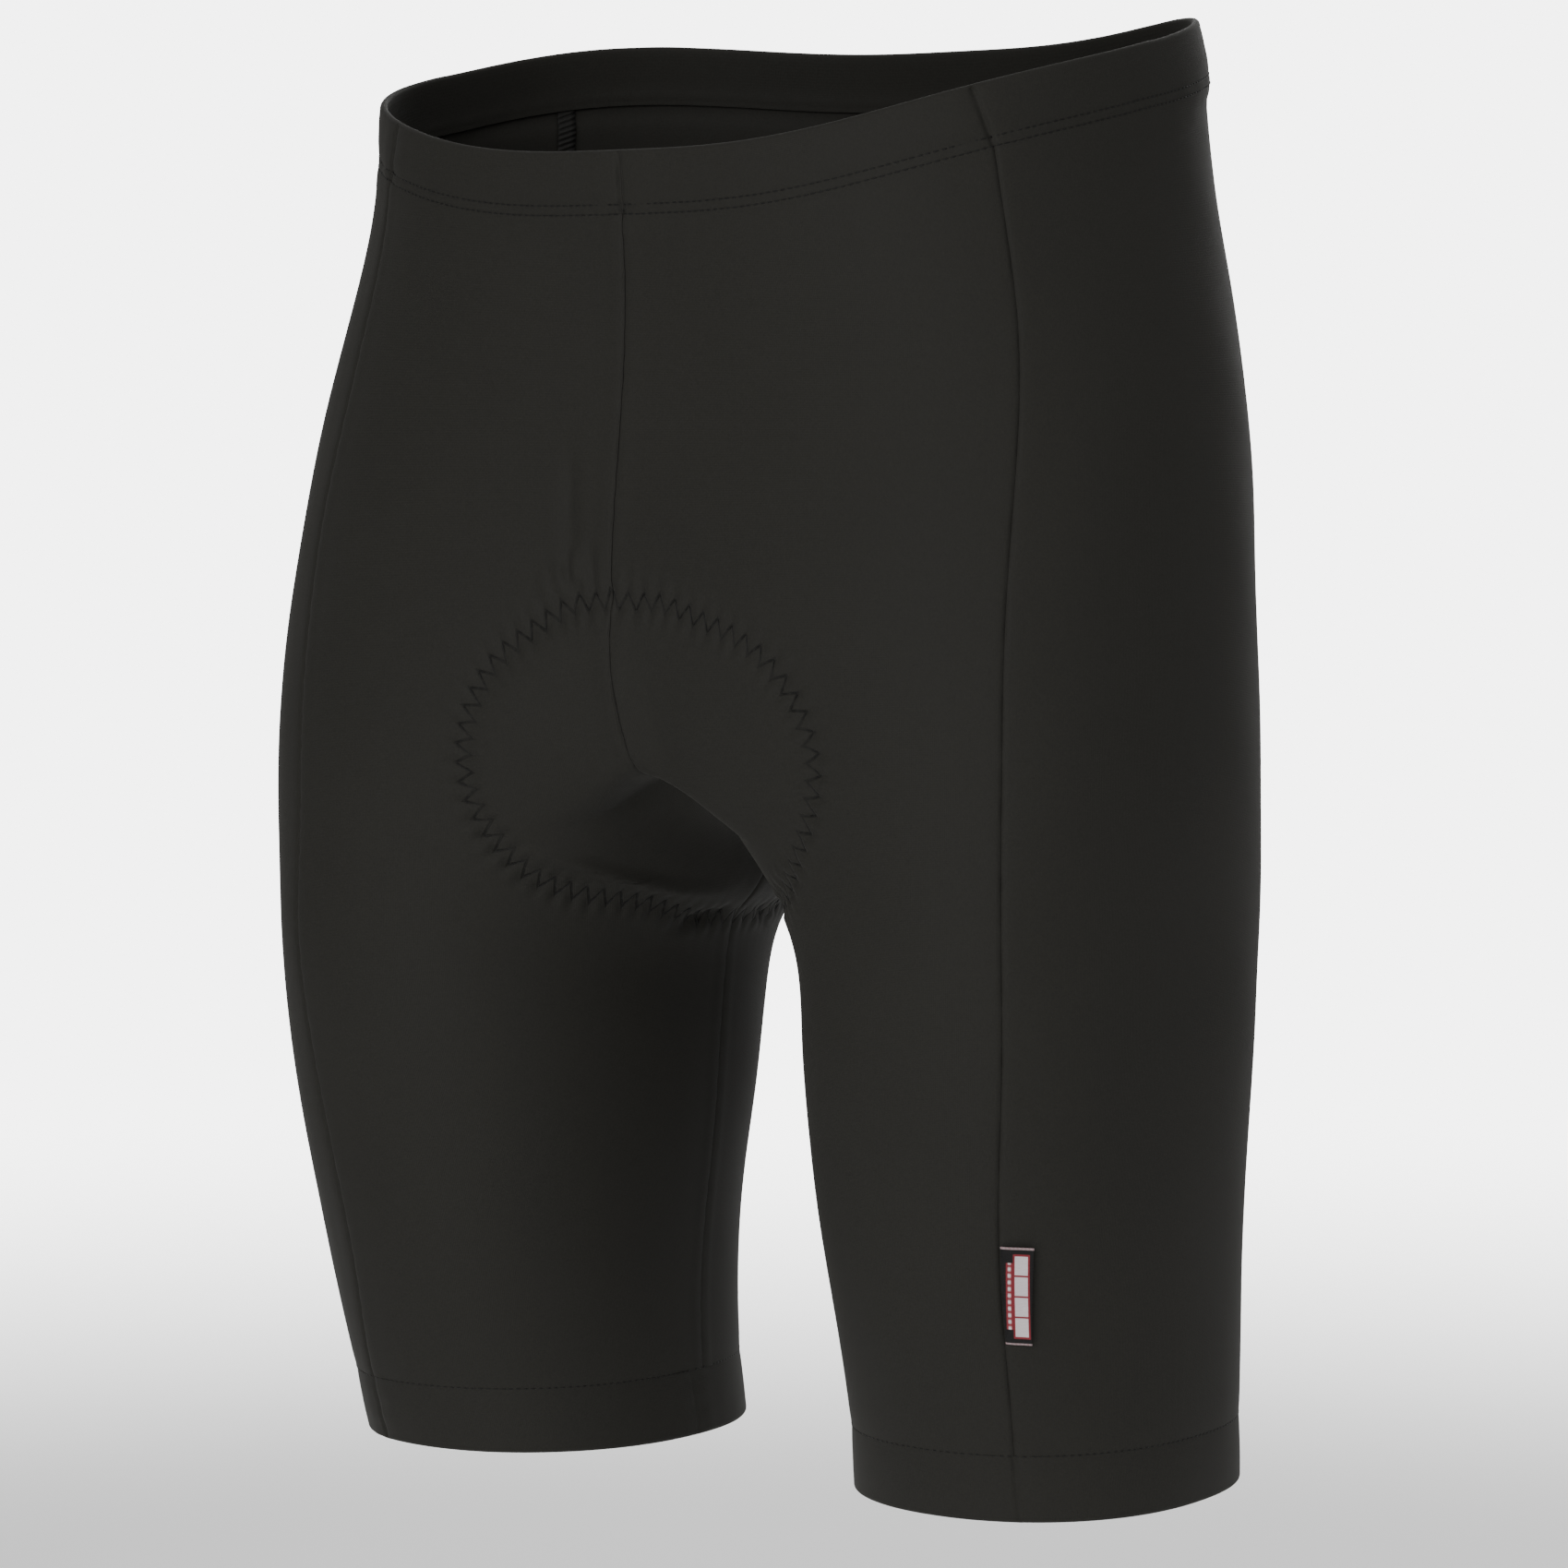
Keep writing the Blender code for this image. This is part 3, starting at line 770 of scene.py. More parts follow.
class Socket:
    """A value in a material. Expressions on it add Math nodes."""

    def __init__(self, maker: "Nodes", output: bpy.types.NodeSocket) -> None:
        """Keep the socket and the material it belongs to."""
        self.maker = maker
        self.output = output

    def math(self, operation: str, *values: "Socket | float") -> "Socket":
        """Math node on this and other values."""
        numbered = {i + 1: value for i, value in enumerate(values)}
        return self.maker.node("ShaderNodeMath", {"operation": operation}, {0: self, **numbered})

    def __rsub__(self, other: float) -> "Socket":
        """Difference from a number."""
        return self.maker.node("ShaderNodeMath", {"operation": "SUBTRACT"}, {0: other, 1: self})

    def wave(self, pitch: float, kind: str = "SINE") -> "Socket":
        """Sine, or another wave, with one turn each pitch."""
        return (self * (2.0 * np.pi / pitch)).math(kind)

    __add__ = __radd__ = partialmethod(math, "ADD")
    __sub__ = partialmethod(math, "SUBTRACT")
    __mul__ = __rmul__ = partialmethod(math, "MULTIPLY")
    __truediv__ = partialmethod(math, "DIVIDE")
    __abs__ = partialmethod(math, "ABSOLUTE")
    least = partialmethod(math, "MINIMUM")
    fraction = partialmethod(math, "FRACT")

    def fade(self, start: float, end: float) -> "Socket":
        """1 where this is below start, smoothly to 0 at end."""
        return self.maker.node(
            "ShaderNodeMapRange", {"interpolation_type": "SMOOTHSTEP"},
            {"Value": self, "From Min": start, "From Max": end, "To Min": 1.0, "To Max": 0.0},
        )


class Nodes:
    """Maker of the nodes of one tree."""

    def __init__(self, tree: bpy.types.NodeTree) -> None:
        """Keep the tree."""
        self.tree = tree

    def node(
        self, kind: str, settings: dict[str, object] | None = None,
        inputs: dict[str | int, object] | None = None, output: str | int = 0,
    ) -> Socket:
        """Add a node.

        Args:
            kind: Type of the node.
            settings: Its properties, set first.
            inputs: Values or links of its sockets, by name or number.
            output: Which output to hand back.

        Returns:
            The output, as a Socket.
        """
        made = self.tree.nodes.new(kind)
        for key, value in (settings or {}).items():
            setattr(made, key, value)
        for key, value in (inputs or {}).items():
            self.plug(made.inputs[key], value)
        return Socket(self, made.outputs[output])

    def plug(self, socket: bpy.types.NodeSocket, value: object) -> None:
        """Link a Socket to an input, or set its plain value."""
        if isinstance(value, Socket):
            self.tree.links.new(value.output, socket)
        else:
            socket.default_value = value


class Finisher(Nodes):
    """Maker of one material's nodes."""

    def __init__(self, name: str) -> None:
        """Start a material with its Principled shader."""
        self.material = bpy.data.materials.new(name)
        self.material.use_nodes = True
        super().__init__(self.material.node_tree)
        self.shader = self.tree.nodes["Principled BSDF"]

    def noise(self, scale: float, detail: float = 2.0, roughness: float = 0.5) -> Socket:
        """Soft noise over the object, 0 to 1, with scale in lumps a metre."""
        where = self.node("ShaderNodeTexCoord", output="Object")
        return self.node(
            "ShaderNodeTexNoise", None,
            {"Vector": where, "Scale": scale, "Detail": detail, "Roughness": roughness},
        )

    def map_values(self, name: str) -> tuple[Socket, Socket]:
        """The two values of a UV map."""
        pair = self.node("ShaderNodeUVMap", {"uv_map": name})
        across = self.node("ShaderNodeSeparateXYZ", None, {0: pair}, "X")
        down = self.node("ShaderNodeSeparateXYZ", None, {0: pair}, "Y")
        return across, down

    def blend(self, share: Socket | float, first: object, second: object) -> Socket:
        """Colour from first to second as share goes from 0 to 1."""
        made = self.tree.nodes.new("ShaderNodeMix")
        made.data_type = "RGBA"
        self.plug(made.inputs[0], share)
        self.plug(made.inputs[6], first)
        self.plug(made.inputs[7], second)
        return Socket(self, made.outputs[2])

    def bump(self, height: Socket, distance: float, strength: float = 1.0) -> None:
        """Fine relief: height of 1 stands up by distance."""
        normal = self.node(
            "ShaderNodeBump", None, {"Height": height, "Distance": distance, "Strength": strength}, "Normal"
        )
        self.plug(self.shader.inputs["Normal"], normal)

    def set(self, **values: object) -> None:
        """Set or link the shader's sockets, named with _ for each space."""
        for key, value in values.items():
            self.plug(self.shader.inputs[key.replace("_", " ")], value)


Colour = tuple[float, float, float, float]


@dataclass(frozen=True)
class KnitFinish:
    """Fine, faintly satin warp knit, near black, with painted shade along the zigzag's stitched line where a
    piece has its map.
    """

    dark: Colour = (0.0095, 0.0091, 0.0077, 1.0)
    light: Colour = (0.0215, 0.0207, 0.0175, 1.0)
    # Painted shade along the zigzag's stitched channel
    painted_zigzag_shade: Colour = (0.006, 0.006, 0.0055, 1.0)
    wale: float = 0.00055
    course: float = 0.00048
    roughness: float = 0.72
    sheen: float = 0.03
    tooth: float = 0.0062
    half_width: float = 0.0029

    def material(self) -> bpy.types.Material:
        """The finish as a material."""
        make = Finisher("near_black_knit")
        across, down = make.map_values(CLOTH_MAP)
        wales, courses = across.wave(self.wale), down.wave(self.course)
        grain = make.noise(1500.0, 2.0, 0.6)
        patches = make.noise(22.0, 3.0, 0.5)
        tone = grain * 0.75 + patches * 0.25
        line = self.sewn_line(make)
        make.set(
            # Half way to a darker colour along the zigzag's line: painted shade in the pad's stitched
            # channel
            Base_Color=make.blend(line * 0.5, make.blend(tone, self.dark, self.light), self.painted_zigzag_shade),
            Roughness=patches * 0.08 + (self.roughness - 0.04) + grain * 0.04,
            Specular_IOR_Level=0.16,
            Sheen_Weight=self.sheen,
            Sheen_Roughness=0.38,
            Sheen_Tint=(1.0, 0.97, 0.90, 1.0),
        )
        rays = self.drawn_rays(make) * (patches * 2.2 - 0.35)
        make.bump(wales * 0.25 + courses * 0.18 + grain * 0.9 - line * 6.0 - rays * 4.0, 0.00004)
        return make.material

    def drawn_rays(self, make: Finisher) -> Socket:
        """Cloth drawn in towards each corner of the zigzag: up to 1 in the dents, below 0 between them."""
        along, shifted = make.map_values(STITCH_MAP)
        out = shifted - 0.5
        outside = (out / self.half_width).least(1.0).math("MAXIMUM", -1.0)
        return along.wave(self.tooth, "COSINE") * outside * abs(out).fade(self.half_width, 0.0095)

    def sewn_line(self, make: Finisher) -> Socket:
        """1 along the zigzag that holds the seat pad, 0 elsewhere."""
        along, shifted = make.map_values(STITCH_MAP)
        out = shifted - 0.5
        wave = abs((along / self.tooth).fraction() * 2.0 - 1.0) * 2.0 - 1.0
        slant = 1.0 / np.hypot(1.0, 4.0 * self.half_width / self.tooth)
        apart = abs(out - wave * self.half_width) * slant
        return apart.fade(0.0001, 0.0007)


@dataclass(frozen=True)
class ThreadFinish:
    """Twisted sewing thread, near black."""

    dark: Colour = (0.0025, 0.0024, 0.0022, 1.0)
    light: Colour = (0.0070, 0.0068, 0.0062, 1.0)

    def material(self) -> bpy.types.Material:
        """The finish as a material."""
        make = Finisher("sewing_thread")
        twist = make.noise(2600.0, 1.0)
        make.set(
            Base_Color=make.blend(twist, self.dark, self.light),
            Roughness=0.55,
            Specular_IOR_Level=0.2,
        )
        make.bump(twist, 0.00003)
        return make.material


@dataclass(frozen=True)
class OverlockFinish:
    """Knit turnings bound with slanting thread, inside the seams."""

    dark: Colour = (0.0085, 0.0082, 0.0074, 1.0)
    light: Colour = (0.0200, 0.0195, 0.0175, 1.0)
    pitch: float = 0.0019

    def material(self) -> bpy.types.Material:
        """The finish as a material."""
        make = Finisher("overlocked_turnings")
        across, down = make.map_values(CLOTH_MAP)
        loops = (down + across * 0.35).wave(self.pitch)
        grain = make.noise(1300.0)
        make.set(
            Base_Color=make.blend(loops * 0.3 + grain * 0.5, self.dark, self.light),
            Roughness=0.7,
            Specular_IOR_Level=0.2,
        )
        make.bump(loops * 0.7 + grain * 0.3, 0.00022)
        return make.material


@dataclass(frozen=True)
class FleeceFinish:
    """Brushed fleece over the seat pad's foam."""

    dark: Colour = (0.030, 0.031, 0.033, 1.0)
    light: Colour = (0.060, 0.062, 0.066, 1.0)

    def material(self) -> bpy.types.Material:
        """The finish as a material."""
        make = Finisher("brushed_fleece")
        pile = make.noise(1100.0, 4.0, 0.7)
        patches = make.noise(45.0, 3.0)
        make.set(
            Base_Color=make.blend(pile * 0.6 + patches * 0.4, self.dark, self.light),
            Roughness=0.92,
            Sheen_Weight=0.45,
            Sheen_Roughness=0.6,
        )
        make.bump(pile + patches * 0.6, 0.0005)
        return make.material


@dataclass(frozen=True)
class TapeFinish:
    """Woven black tape with plain pale bars edged in red."""

    ground: Colour = (0.0035, 0.0033, 0.0034, 1.0)
    rib: Colour = (0.0110, 0.0100, 0.0100, 1.0)
    pale: Colour = (0.60, 0.56, 0.57, 1.0)
    red: Colour = (0.20, 0.020, 0.028, 1.0)
    half_height: float = 0.0155
    rib_pitch: float = 0.00042
    weave_pitch: float = 0.00035
    block_pitch: float = 0.00655
    speck_pitch: float = 0.0021

    def material(self) -> bpy.types.Material:
        """The finish as a material."""
        make = Finisher("woven_tape")
        across, down = make.map_values(CLOTH_MAP)
        ribs, weave = down.wave(self.rib_pitch), across.wave(self.weave_pitch)
        below = down - self.half_height
        middle = abs(below)
        slant = across - below * 0.03
        broad = abs(slant - 0.0068)
        narrow = abs(slant - 0.0033)
        gaps = abs((below / self.block_pitch + 0.5).fraction() - 0.5).fade(0.02, 0.07)
        specks = down.wave(self.speck_pitch) * 0.5 + 0.5
        ends = 1.0 - middle.fade(0.01475, 0.01500)
        colour = make.blend(ribs * 0.25 + 0.25, self.ground, self.rib)
        colour = make.blend(broad.fade(0.0023, 0.0026) * middle.fade(0.0133, 0.0136), colour, self.red)
        colour = make.blend(narrow.fade(0.0009, 0.0011) * middle.fade(0.0105, 0.0108), colour, self.red)
        dots = narrow.fade(0.0003, 0.0006) * middle.fade(0.0105, 0.0108) * specks
        colour = make.blend(dots, colour, self.pale)
        bar = broad.fade(0.0018, 0.0020) * middle.fade(0.0128, 0.0131)
        colour = make.blend(bar * (1.0 - gaps) * (ribs * 0.08 + 0.9), colour, self.pale)
        make.set(
            Base_Color=make.blend(ends * 0.7, colour, make.blend(weave * 0.5 + 0.5, self.red, self.pale)),
            Roughness=0.62,
            Specular_IOR_Level=0.2,
        )
        make.bump(ribs * 0.6 + weave * 0.4, 0.00006)
        return make.material


@dataclass(frozen=True)
class FloorFinish:
    """Pale matt floor that fades out far from the shorts."""

    colour: Colour = (0.86, 0.86, 0.86, 1.0)
    glow: float = 0.2
    clear_from: float = 0.9
    clear_by: float = 2.6

    def material(self) -> bpy.types.Material:
        """The finish as a material."""
        make = Finisher("pale_floor")
        where = make.node("ShaderNodeTexCoord", output="Object")
        x = make.node("ShaderNodeSeparateXYZ", None, {0: where}, "X")
        y = make.node("ShaderNodeSeparateXYZ", None, {0: where}, "Y")
        away = (x * x + y * y).math("SQRT")
        make.set(
            Base_Color=self.colour,
            Roughness=0.9,
            Alpha=away.fade(self.clear_from, self.clear_by),
            Emission_Color=self.colour,
            Emission_Strength=self.glow,
        )
        return make.material


@dataclass(frozen=True)
class Finishes:
    """Every finish of the shorts, made once."""

    knit: bpy.types.Material = field(default_factory=lambda: KnitFinish().material())
    thread: bpy.types.Material = field(default_factory=lambda: ThreadFinish().material())
    overlock: bpy.types.Material = field(default_factory=lambda: OverlockFinish().material())
    fleece: bpy.types.Material = field(default_factory=lambda: FleeceFinish().material())
    tape: bpy.types.Material = field(default_factory=lambda: TapeFinish().material())


@dataclass
class Stitches:
    """Short spindles of thread laid along lines, as one piece."""

    name: str
    finishes: Finishes
    thick: float = 0.00042
    flat: float = 0.75
    builder: bmesh.types.BMesh = field(default_factory=bmesh.new)
    spindle: bpy.types.Mesh = field(init=False)
    placed: Matrix = field(default_factory=lambda: Matrix.Identity(4))

    def __post_init__(self) -> None:
        """Turn one spindle, which is moved along and copied in for each stitch."""
        turned = bmesh.new()
        bmesh.ops.create_uvsphere(turned, u_segments=6, v_segments=4, radius=0.5)
        bmesh.ops.recalc_face_normals(turned, faces=turned.faces[:])
        self.spindle = bpy.data.meshes.new(f"{self.name}_spindle")
        turned.to_mesh(self.spindle)
        turned.free()

    def lay(self, start: np.ndarray, end: np.ndarray, up: np.ndarray) -> None:
        """Add one stitch.

        Args:
            start: Where the needle comes up.
            end: Where it goes down.
            up: Direction away from the cloth.
        """
        along = Vector(end - start)
        across = along.cross(Vector(up)).normalized() * self.thick
        rise = across.cross(along).normalized() * self.thick * self.flat
        middle = Vector(0.5 * (start + end))
        place = placing(across, rise, along, middle)
        self.spindle.transform(place @ self.placed.inverted())
        self.placed = place
        self.builder.from_mesh(self.spindle)

    def run(self, line: np.ndarray, up: np.ndarray, pitch: float, fill: float, seed: int) -> None:
        """Lay stitches end to end along a line.

        Args:
            line: Close points along the line.
            up: Direction away from the cloth at each of them.
            pitch: Length from one stitch to the next.
            fill: Share of the pitch that the thread shows.
            seed: Start of the small unevenness.
        """
        at = lengths(line)
        uneven = np.random.default_rng(seed)
        count = int(at[-1] / pitch)
        for number in range(count):
            middle = (number + 0.5) * pitch + uneven.normal(0.0, 0.03 * pitch)
            half = 0.5 * pitch * fill * (1.0 + uneven.normal(0.0, 0.05))
            self.lay(read(middle - half, at, line), read(middle + half, at, line), read(middle, at, up))

    def sew(self) -> bpy.types.Object:
        """Finish the stitches as one piece."""
        bpy.data.meshes.remove(self.spindle)
        return make_piece(self.name, self.builder, self.finishes.thread)


@dataclass
class Sewn:
    """What every soft piece is made from."""

    form: WornForm
    relief: Relief
    finishes: Finishes


def stand_for(piece: bpy.types.Object, node: str) -> bpy.types.Object:
    """Hide the solid that a piece takes the place of, and hand the piece back."""
    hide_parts(node)
    return piece


@dataclass
class Panel(Sewn):
    """One cut panel of one half, as a thin sheet on its solid's outer face."""

    side: Side
    cut: Cut
    thick: float = 0.0009
    hairline: float = 0.00004
    lap: float = 0.0001
    rows_above: int = 132
    rows_below: int = 74
    row_spread: float = 1.6
    columns: tuple[int, int, int] = (96, 52, 100)
    stretch: float = 1.10
    reach: float = 0.0015
    inseam_back: float = 0.0075
    inseam_start: float = 0.002
    inseam_fade: float = 0.035
    wrapped: int = 200
    seam_crowd: tuple[float, float] = (0.0016, 6.0)
    front_crowd: tuple[float, float] = (0.085, 1.2)
    back_crowd: tuple[float, float] = (0.095, 1.2)
    turning_ways: tuple[float, ...] = (-0.9, 1.2, 2.6, 4.0, 5.2, 5.8, 5.2, 4.0, 2.6, 1.2, -0.9)
    turning_depths: tuple[float, ...] = (
        0.0003, 0.0001, 0.0001, 0.0001, 0.0002, 0.0006, 0.0009, 0.0010, 0.0010, 0.0010, 0.0008,
    )

    @property
    def name(self) -> str:
        """Name of the cloth piece."""
        return f"{self.cut.name.lower()}_cloth_{self.side.name.lower()}"

    @property
    def node(self) -> str:
        """Name of the solid it stands for."""
        return f"{self.cut.name.lower()}_panel_{self.side.name.lower()}"

    def levels(self) -> np.ndarray:
        """Levels of the rows, from the waistband down to the hem, crowded towards the crotch."""
        crotch = self.form.crotch_height()
        bottom = self.form.hem_level + self.form.hem_height
        above = crotch * (1.0 - np.linspace(1.0, 0.0, self.rows_above + 1) ** self.row_spread)
        below = crotch - (crotch - bottom) * np.linspace(0.0, 1.0, self.rows_below + 1) ** self.row_spread
        above[0] = self.lap
        below[-1] -= self.lap
        return np.concatenate([above, below[1:]])

    def row(self, level: float) -> tuple[np.ndarray, np.ndarray, float, float]:
        """Shares and lengths along one row, and where the panel begins and ends on it."""
        share = self.form.way_round()
        height = self.form.row_height(level, share)
        length = lengths(self.form.oval(height, share))
        middle = float(np.interp(0.5, share, height))
        seams = self.form.seam_lengths(middle, self.side, share, length)
        under = (self.form.crotch_height() - self.inseam_start - level) / self.inseam_fade
        back = self.inseam_back * float(smooth(under))
        seams = (seams[0] - back, *seams[1:3], seams[3] - back)
        if level < self.form.crotch_height():
            share = np.concatenate([share[-self.wrapped:-1] - 1.0, share])
            length = np.concatenate([length[-self.wrapped:-1] - length[-1], length])
        return share, length, seams[self.cut.value], seams[self.cut.value + 1]

    def marks(self, first: float, last: float) -> tuple[tuple[float, float, float], ...]:
        """Where columns crowd: at both seams, and over the seat pad."""
        width = last - first
        edges = ((0.0, *self.seam_crowd), (width, *self.seam_crowd))
        if self.cut is Cut.FRONT:
            return (*edges, (0.0, *self.front_crowd))
        if self.cut is Cut.BACK:
            return (*edges, (width, *self.back_crowd))
        return edges

    def build(self) -> bpy.types.Object:
        """Cut, shape and dress the panel."""
        levels = self.levels()
        columns = self.columns[self.cut.value]
        rows = len(levels) - 1
        shares = np.zeros((rows + 1, columns + 1))
        seam = np.zeros_like(shares)
        across = np.zeros_like(shares)
        for number, level in enumerate(levels):
            share, length, first, last = self.row(level)
            width = last - first - 2.0 * self.hairline
            step = crowd(width, columns, self.marks(first, last))
            shares[number] = np.interp(first + self.hairline + step, length, share) % 1.0
            seam[number] = np.minimum(step, width - step)
            across[number] = 0.5 + step - width * (Cut.BACK.value - self.cut.value) / 2.0
        heights = self.form.row_height(levels[:, None], shares)
        builder, column, row = fresh_grid(columns, rows)
        at = row, column
        places = Places(heights[at], shares[at], np.full(len(column), self.side.value), seam[at])
        points = self.relief.face(places)
        along, out = self.relief.sewn_place(places.point(self.form), places.side)
        sewn = np.stack([along, 0.5 + np.clip(out, -0.03, 0.03)], axis=-1)
        cut_map = np.stack([across[row, column], 0.9 + heights[row, column]], axis=-1)
        lay(builder, points, {CLOTH_MAP: cut_map, STITCH_MAP: sewn})
        face_outwards(builder, self.form)
        for edge in builder.edges:
            edge.smooth = not edge.is_boundary
        area = sum(face.calc_area() for face in builder.faces)
        piece = make_piece(self.name, builder, self.finishes.knit)
        shell = piece.modifiers.new("wall", "SOLIDIFY")
        shell.thickness = self.thick
        shell.offset = -1.0
        stand_for(piece, self.node)
        grid = np.zeros((rows + 1, columns + 1, 3))
        grid[row, column] = points
        width = max(lengths(line)[-1] for line in grid)
        tall = max(lengths(grid[:, i])[-1] for i in range(columns + 1))
        self.flat = (width / self.stretch, tall)
        self.area = area / self.stretch
        return piece

    def turnings(
        self, inner: bool, name: str, first_row: int = 0, last_row: int | None = None
    ) -> bpy.types.Object:
        """Overlocked seam turnings on the panel's inside, along one of its edges.

        Args:
            inner: Whether they lie along the edge nearer the centre front.
            name: Name of the piece.
            first_row: First of the panel's rows that they follow.
            last_row: Row after their last one.

        Returns:
            The piece.
        """
        levels = self.levels()[first_row:last_row]
        if first_row == 0:
            levels = np.concatenate([[self.reach], levels])
        if last_row is None:
            levels = np.concatenate([levels, [levels[-1] - self.reach]])
        rows = len(levels) - 1
        offsets = 0.001 * np.array(self.turning_ways)
        depths = np.array(self.turning_depths)
        columns = len(offsets)
        shares = np.zeros((rows + 1, columns))
        sides = np.full((rows + 1, columns), self.side.value)
        for number, level in enumerate(levels):
            share, length, first, last = self.row(level)
            where = first + offsets if inner else last - offsets
            over = (where < length[0]) | (where > length[-1])
            folded = np.where(where < length[0], -where, where)
            where = np.where(where > length[-1], 2.0 * length[-1] - where, folded)
            sides[number, over] = -self.side.value
            shares[number] = np.interp(where, length, share) % 1.0
        heights = self.form.row_height(levels[:, None], shares)
        builder, column, row = fresh_grid(columns, rows)
        column = column % columns
        at = row, column
        places = Places(heights[at], shares[at], sides[at], np.abs(offsets[column]))
        points = self.relief.face(places, self.thick + 0.0001 + depths[column])
        cut_map = np.stack([offsets[column], 0.9 + heights[row, column]], axis=-1)
        lay(builder, points, {CLOTH_MAP: cut_map})
        bmesh.ops.remove_doubles(builder, verts=builder.verts[:], dist=MERGE)
        ends = [edge for edge in builder.edges if edge.is_boundary]
        bmesh.ops.holes_fill(builder, edges=ends, sides=0)
        turn_outwards(builder)
        return make_piece(name, builder, self.finishes.overlock)


@dataclass
class TurnedEdge(Sewn):
    """A turned, stitched edge all round: the waistband, or the hem of one leg."""

    side: Side | None = None
    waist_wall: float = 0.0026
    hem_wall: float = 0.0024
    waist_steps: int = 700
    hem_steps: int = 400
    outer_rows: int = 22
    turn_points: int = 5
    hairline: float = 0.00006
    lean: float = 0.0055
    waist_round: float = 0.80
    hem_round: float = 0.41

    @property
    def name(self) -> str:
        """Name of the cloth piece."""
        return f"hem_cloth_{self.side.name.lower()}" if self.side else "waistband_cloth"

    @property
    def node(self) -> str:
        """Name of the solid it stands for."""
        return f"hem_{self.side.name.lower()}" if self.side else "waistband"

    @property
    def height(self) -> float:
        """Height of the turned edge."""
        return (self.form.hem_height if self.side else self.form.band_height) - self.hairline

    @property
    def wall(self) -> float:
        """Thickness of the turned edge."""
        return self.hem_wall if self.side else self.waist_wall

    def profile(self) -> np.ndarray:
        """Section as a loop of drops and depths: down the outer face, round, up the inner face, and back."""
        height, wall = self.height, self.wall
        fold_at_top = self.side is None
        soft, crisp = 0.5 * wall, 0.05 * wall
        top, bottom = (soft, crisp) if fold_at_top else (crisp, soft)
        quarter = np.linspace(0.0, 0.5 * np.pi, self.turn_points)

        def corner(drop: float, depth: float, radius: float, start: float) -> np.ndarray:
            """Rounded corner about its centre."""
            angle = start + quarter
            return np.stack([drop + radius * np.sin(angle), depth - radius * np.cos(angle)], axis=-1)

        outer = crowd(height - top - bottom, self.outer_rows, ((height - top - bottom, 0.006, 1.5),))
        face = np.stack([top + outer, np.zeros_like(outer)], axis=-1)
        back = np.stack([top + outer[::-2], np.full(len(outer[::-2]), wall)], axis=-1)
        low_front = corner(height - bottom, bottom, bottom, 0.0)
        low_back = corner(height - bottom, wall - bottom, bottom, 0.5 * np.pi)
        high_back = corner(top, wall - top, top, np.pi)
        high_front = corner(top, top, top, 1.5 * np.pi)
        return np.concatenate([face[:-1], low_front, low_back[1:], back[1:-1], high_back, high_front[1:-1]])

    def around(self) -> tuple[np.ndarray, np.ndarray, np.ndarray, np.ndarray]:
        """Shares, sides, way from the nearest seam with its lean, and length of the edge's columns."""
        share = self.form.way_round()
        if self.side:
            height = np.full_like(share, self.form.hem_level + self.form.hem_height)
            halves = (self.side,)
        else:
            height = self.form.rim_height(share) - self.form.band_height
            halves = (Side.LEFT, Side.RIGHT)
        length = lengths(self.form.oval(height, share))
        middle = float(np.interp(0.5, share, height))
        shares, sides, seam, along = [], [], [], []
        steps = (self.hem_steps if self.side else self.waist_steps) // len(halves)
        for number, half in enumerate(halves):
            seams = self.form.seam_lengths(middle, half, share, length)
            lean = 0.0 if self.side else self.lean
            marks = tuple((at - 0.5 * lean * (at == seams[1]), 0.0030, 6.0) for at in seams)
            place = crowd(length[-1], steps, marks)
            apart = place[:, None] - np.array(seams)[None, :]
            nearest = np.abs(apart).argmin(axis=1)
            apart = np.stack([apart[np.arange(len(place)), nearest], lean * (nearest == 1)], axis=-1)
            way = np.interp(place, length, share)
            run = place
            if number:
                way, apart, run = way[::-1], apart[::-1], 2.0 * length[-1] - place[::-1]
            keep = slice(1, None) if number else slice(None)
            shares.append(way[keep])
            seam.append(apart[keep])
            along.append(run[keep])
            sides.append(np.full(len(way[keep]), half.value))
        return np.concatenate(shares), np.concatenate(sides), np.concatenate(seam), np.concatenate(along)

    def build(self) -> bpy.types.Object:
        """Shape and dress the turned edge."""
        shares, sides, seam, along = self.around()
        profile = self.profile()
        columns, rows = len(shares) - 1, len(profile)
        builder, column, row = fresh_grid(columns, rows)
        map_row = row
        row = row % rows
        drop, depth = profile[row].T
        share = shares[column]
        top = self.upper_edge(share)
        below = self.hairline if self.side else 0.0
        apart, lean = seam[column].T
        apart = 0.5 * np.abs(apart + lean * (1.0 - drop / self.height))
        apart = apart + 0.02 * smooth(2.0 * depth / self.wall)
        places = Places(top - drop - below, share, sides[column], apart)
        points = self.relief.face(places, depth)
        cut_map = np.stack([0.05 + along[column], 0.2 + 0.05 * map_row / rows], axis=-1)
        lay(builder, points, {CLOTH_MAP: cut_map})
        ends = (column == 0) | (column == columns)
        close = [vert for vert, end in zip(builder.verts, ends) if end]
        bmesh.ops.remove_doubles(builder, verts=close, dist=0.00002)
        bmesh.ops.remove_doubles(builder, verts=builder.verts[:], dist=MERGE)
        turn_outwards(builder)
        return stand_for(make_piece(self.name, builder, self.finishes.knit), self.node)

    def upper_edge(self, share: np.ndarray) -> np.ndarray | float:
        """Height of the edge's upper end."""
        if self.side is None:
            return self.form.rim_height(share)
        return self.form.hem_level + self.form.hem_height

    def stitch_line(self, drop: float) -> tuple[np.ndarray, np.ndarray]:
        """Points and directions along a row of stitches, at a drop under the upper edge."""
        shares, sides, seam, _ = self.around()
        top = self.upper_edge(shares)
        places = Places(top - drop, shares, sides, np.abs(seam[:, 0]))
        point = self.relief.face(places, -0.00006)
        return point, mirrored(self.form.outward(places.point(self.form)), sides)

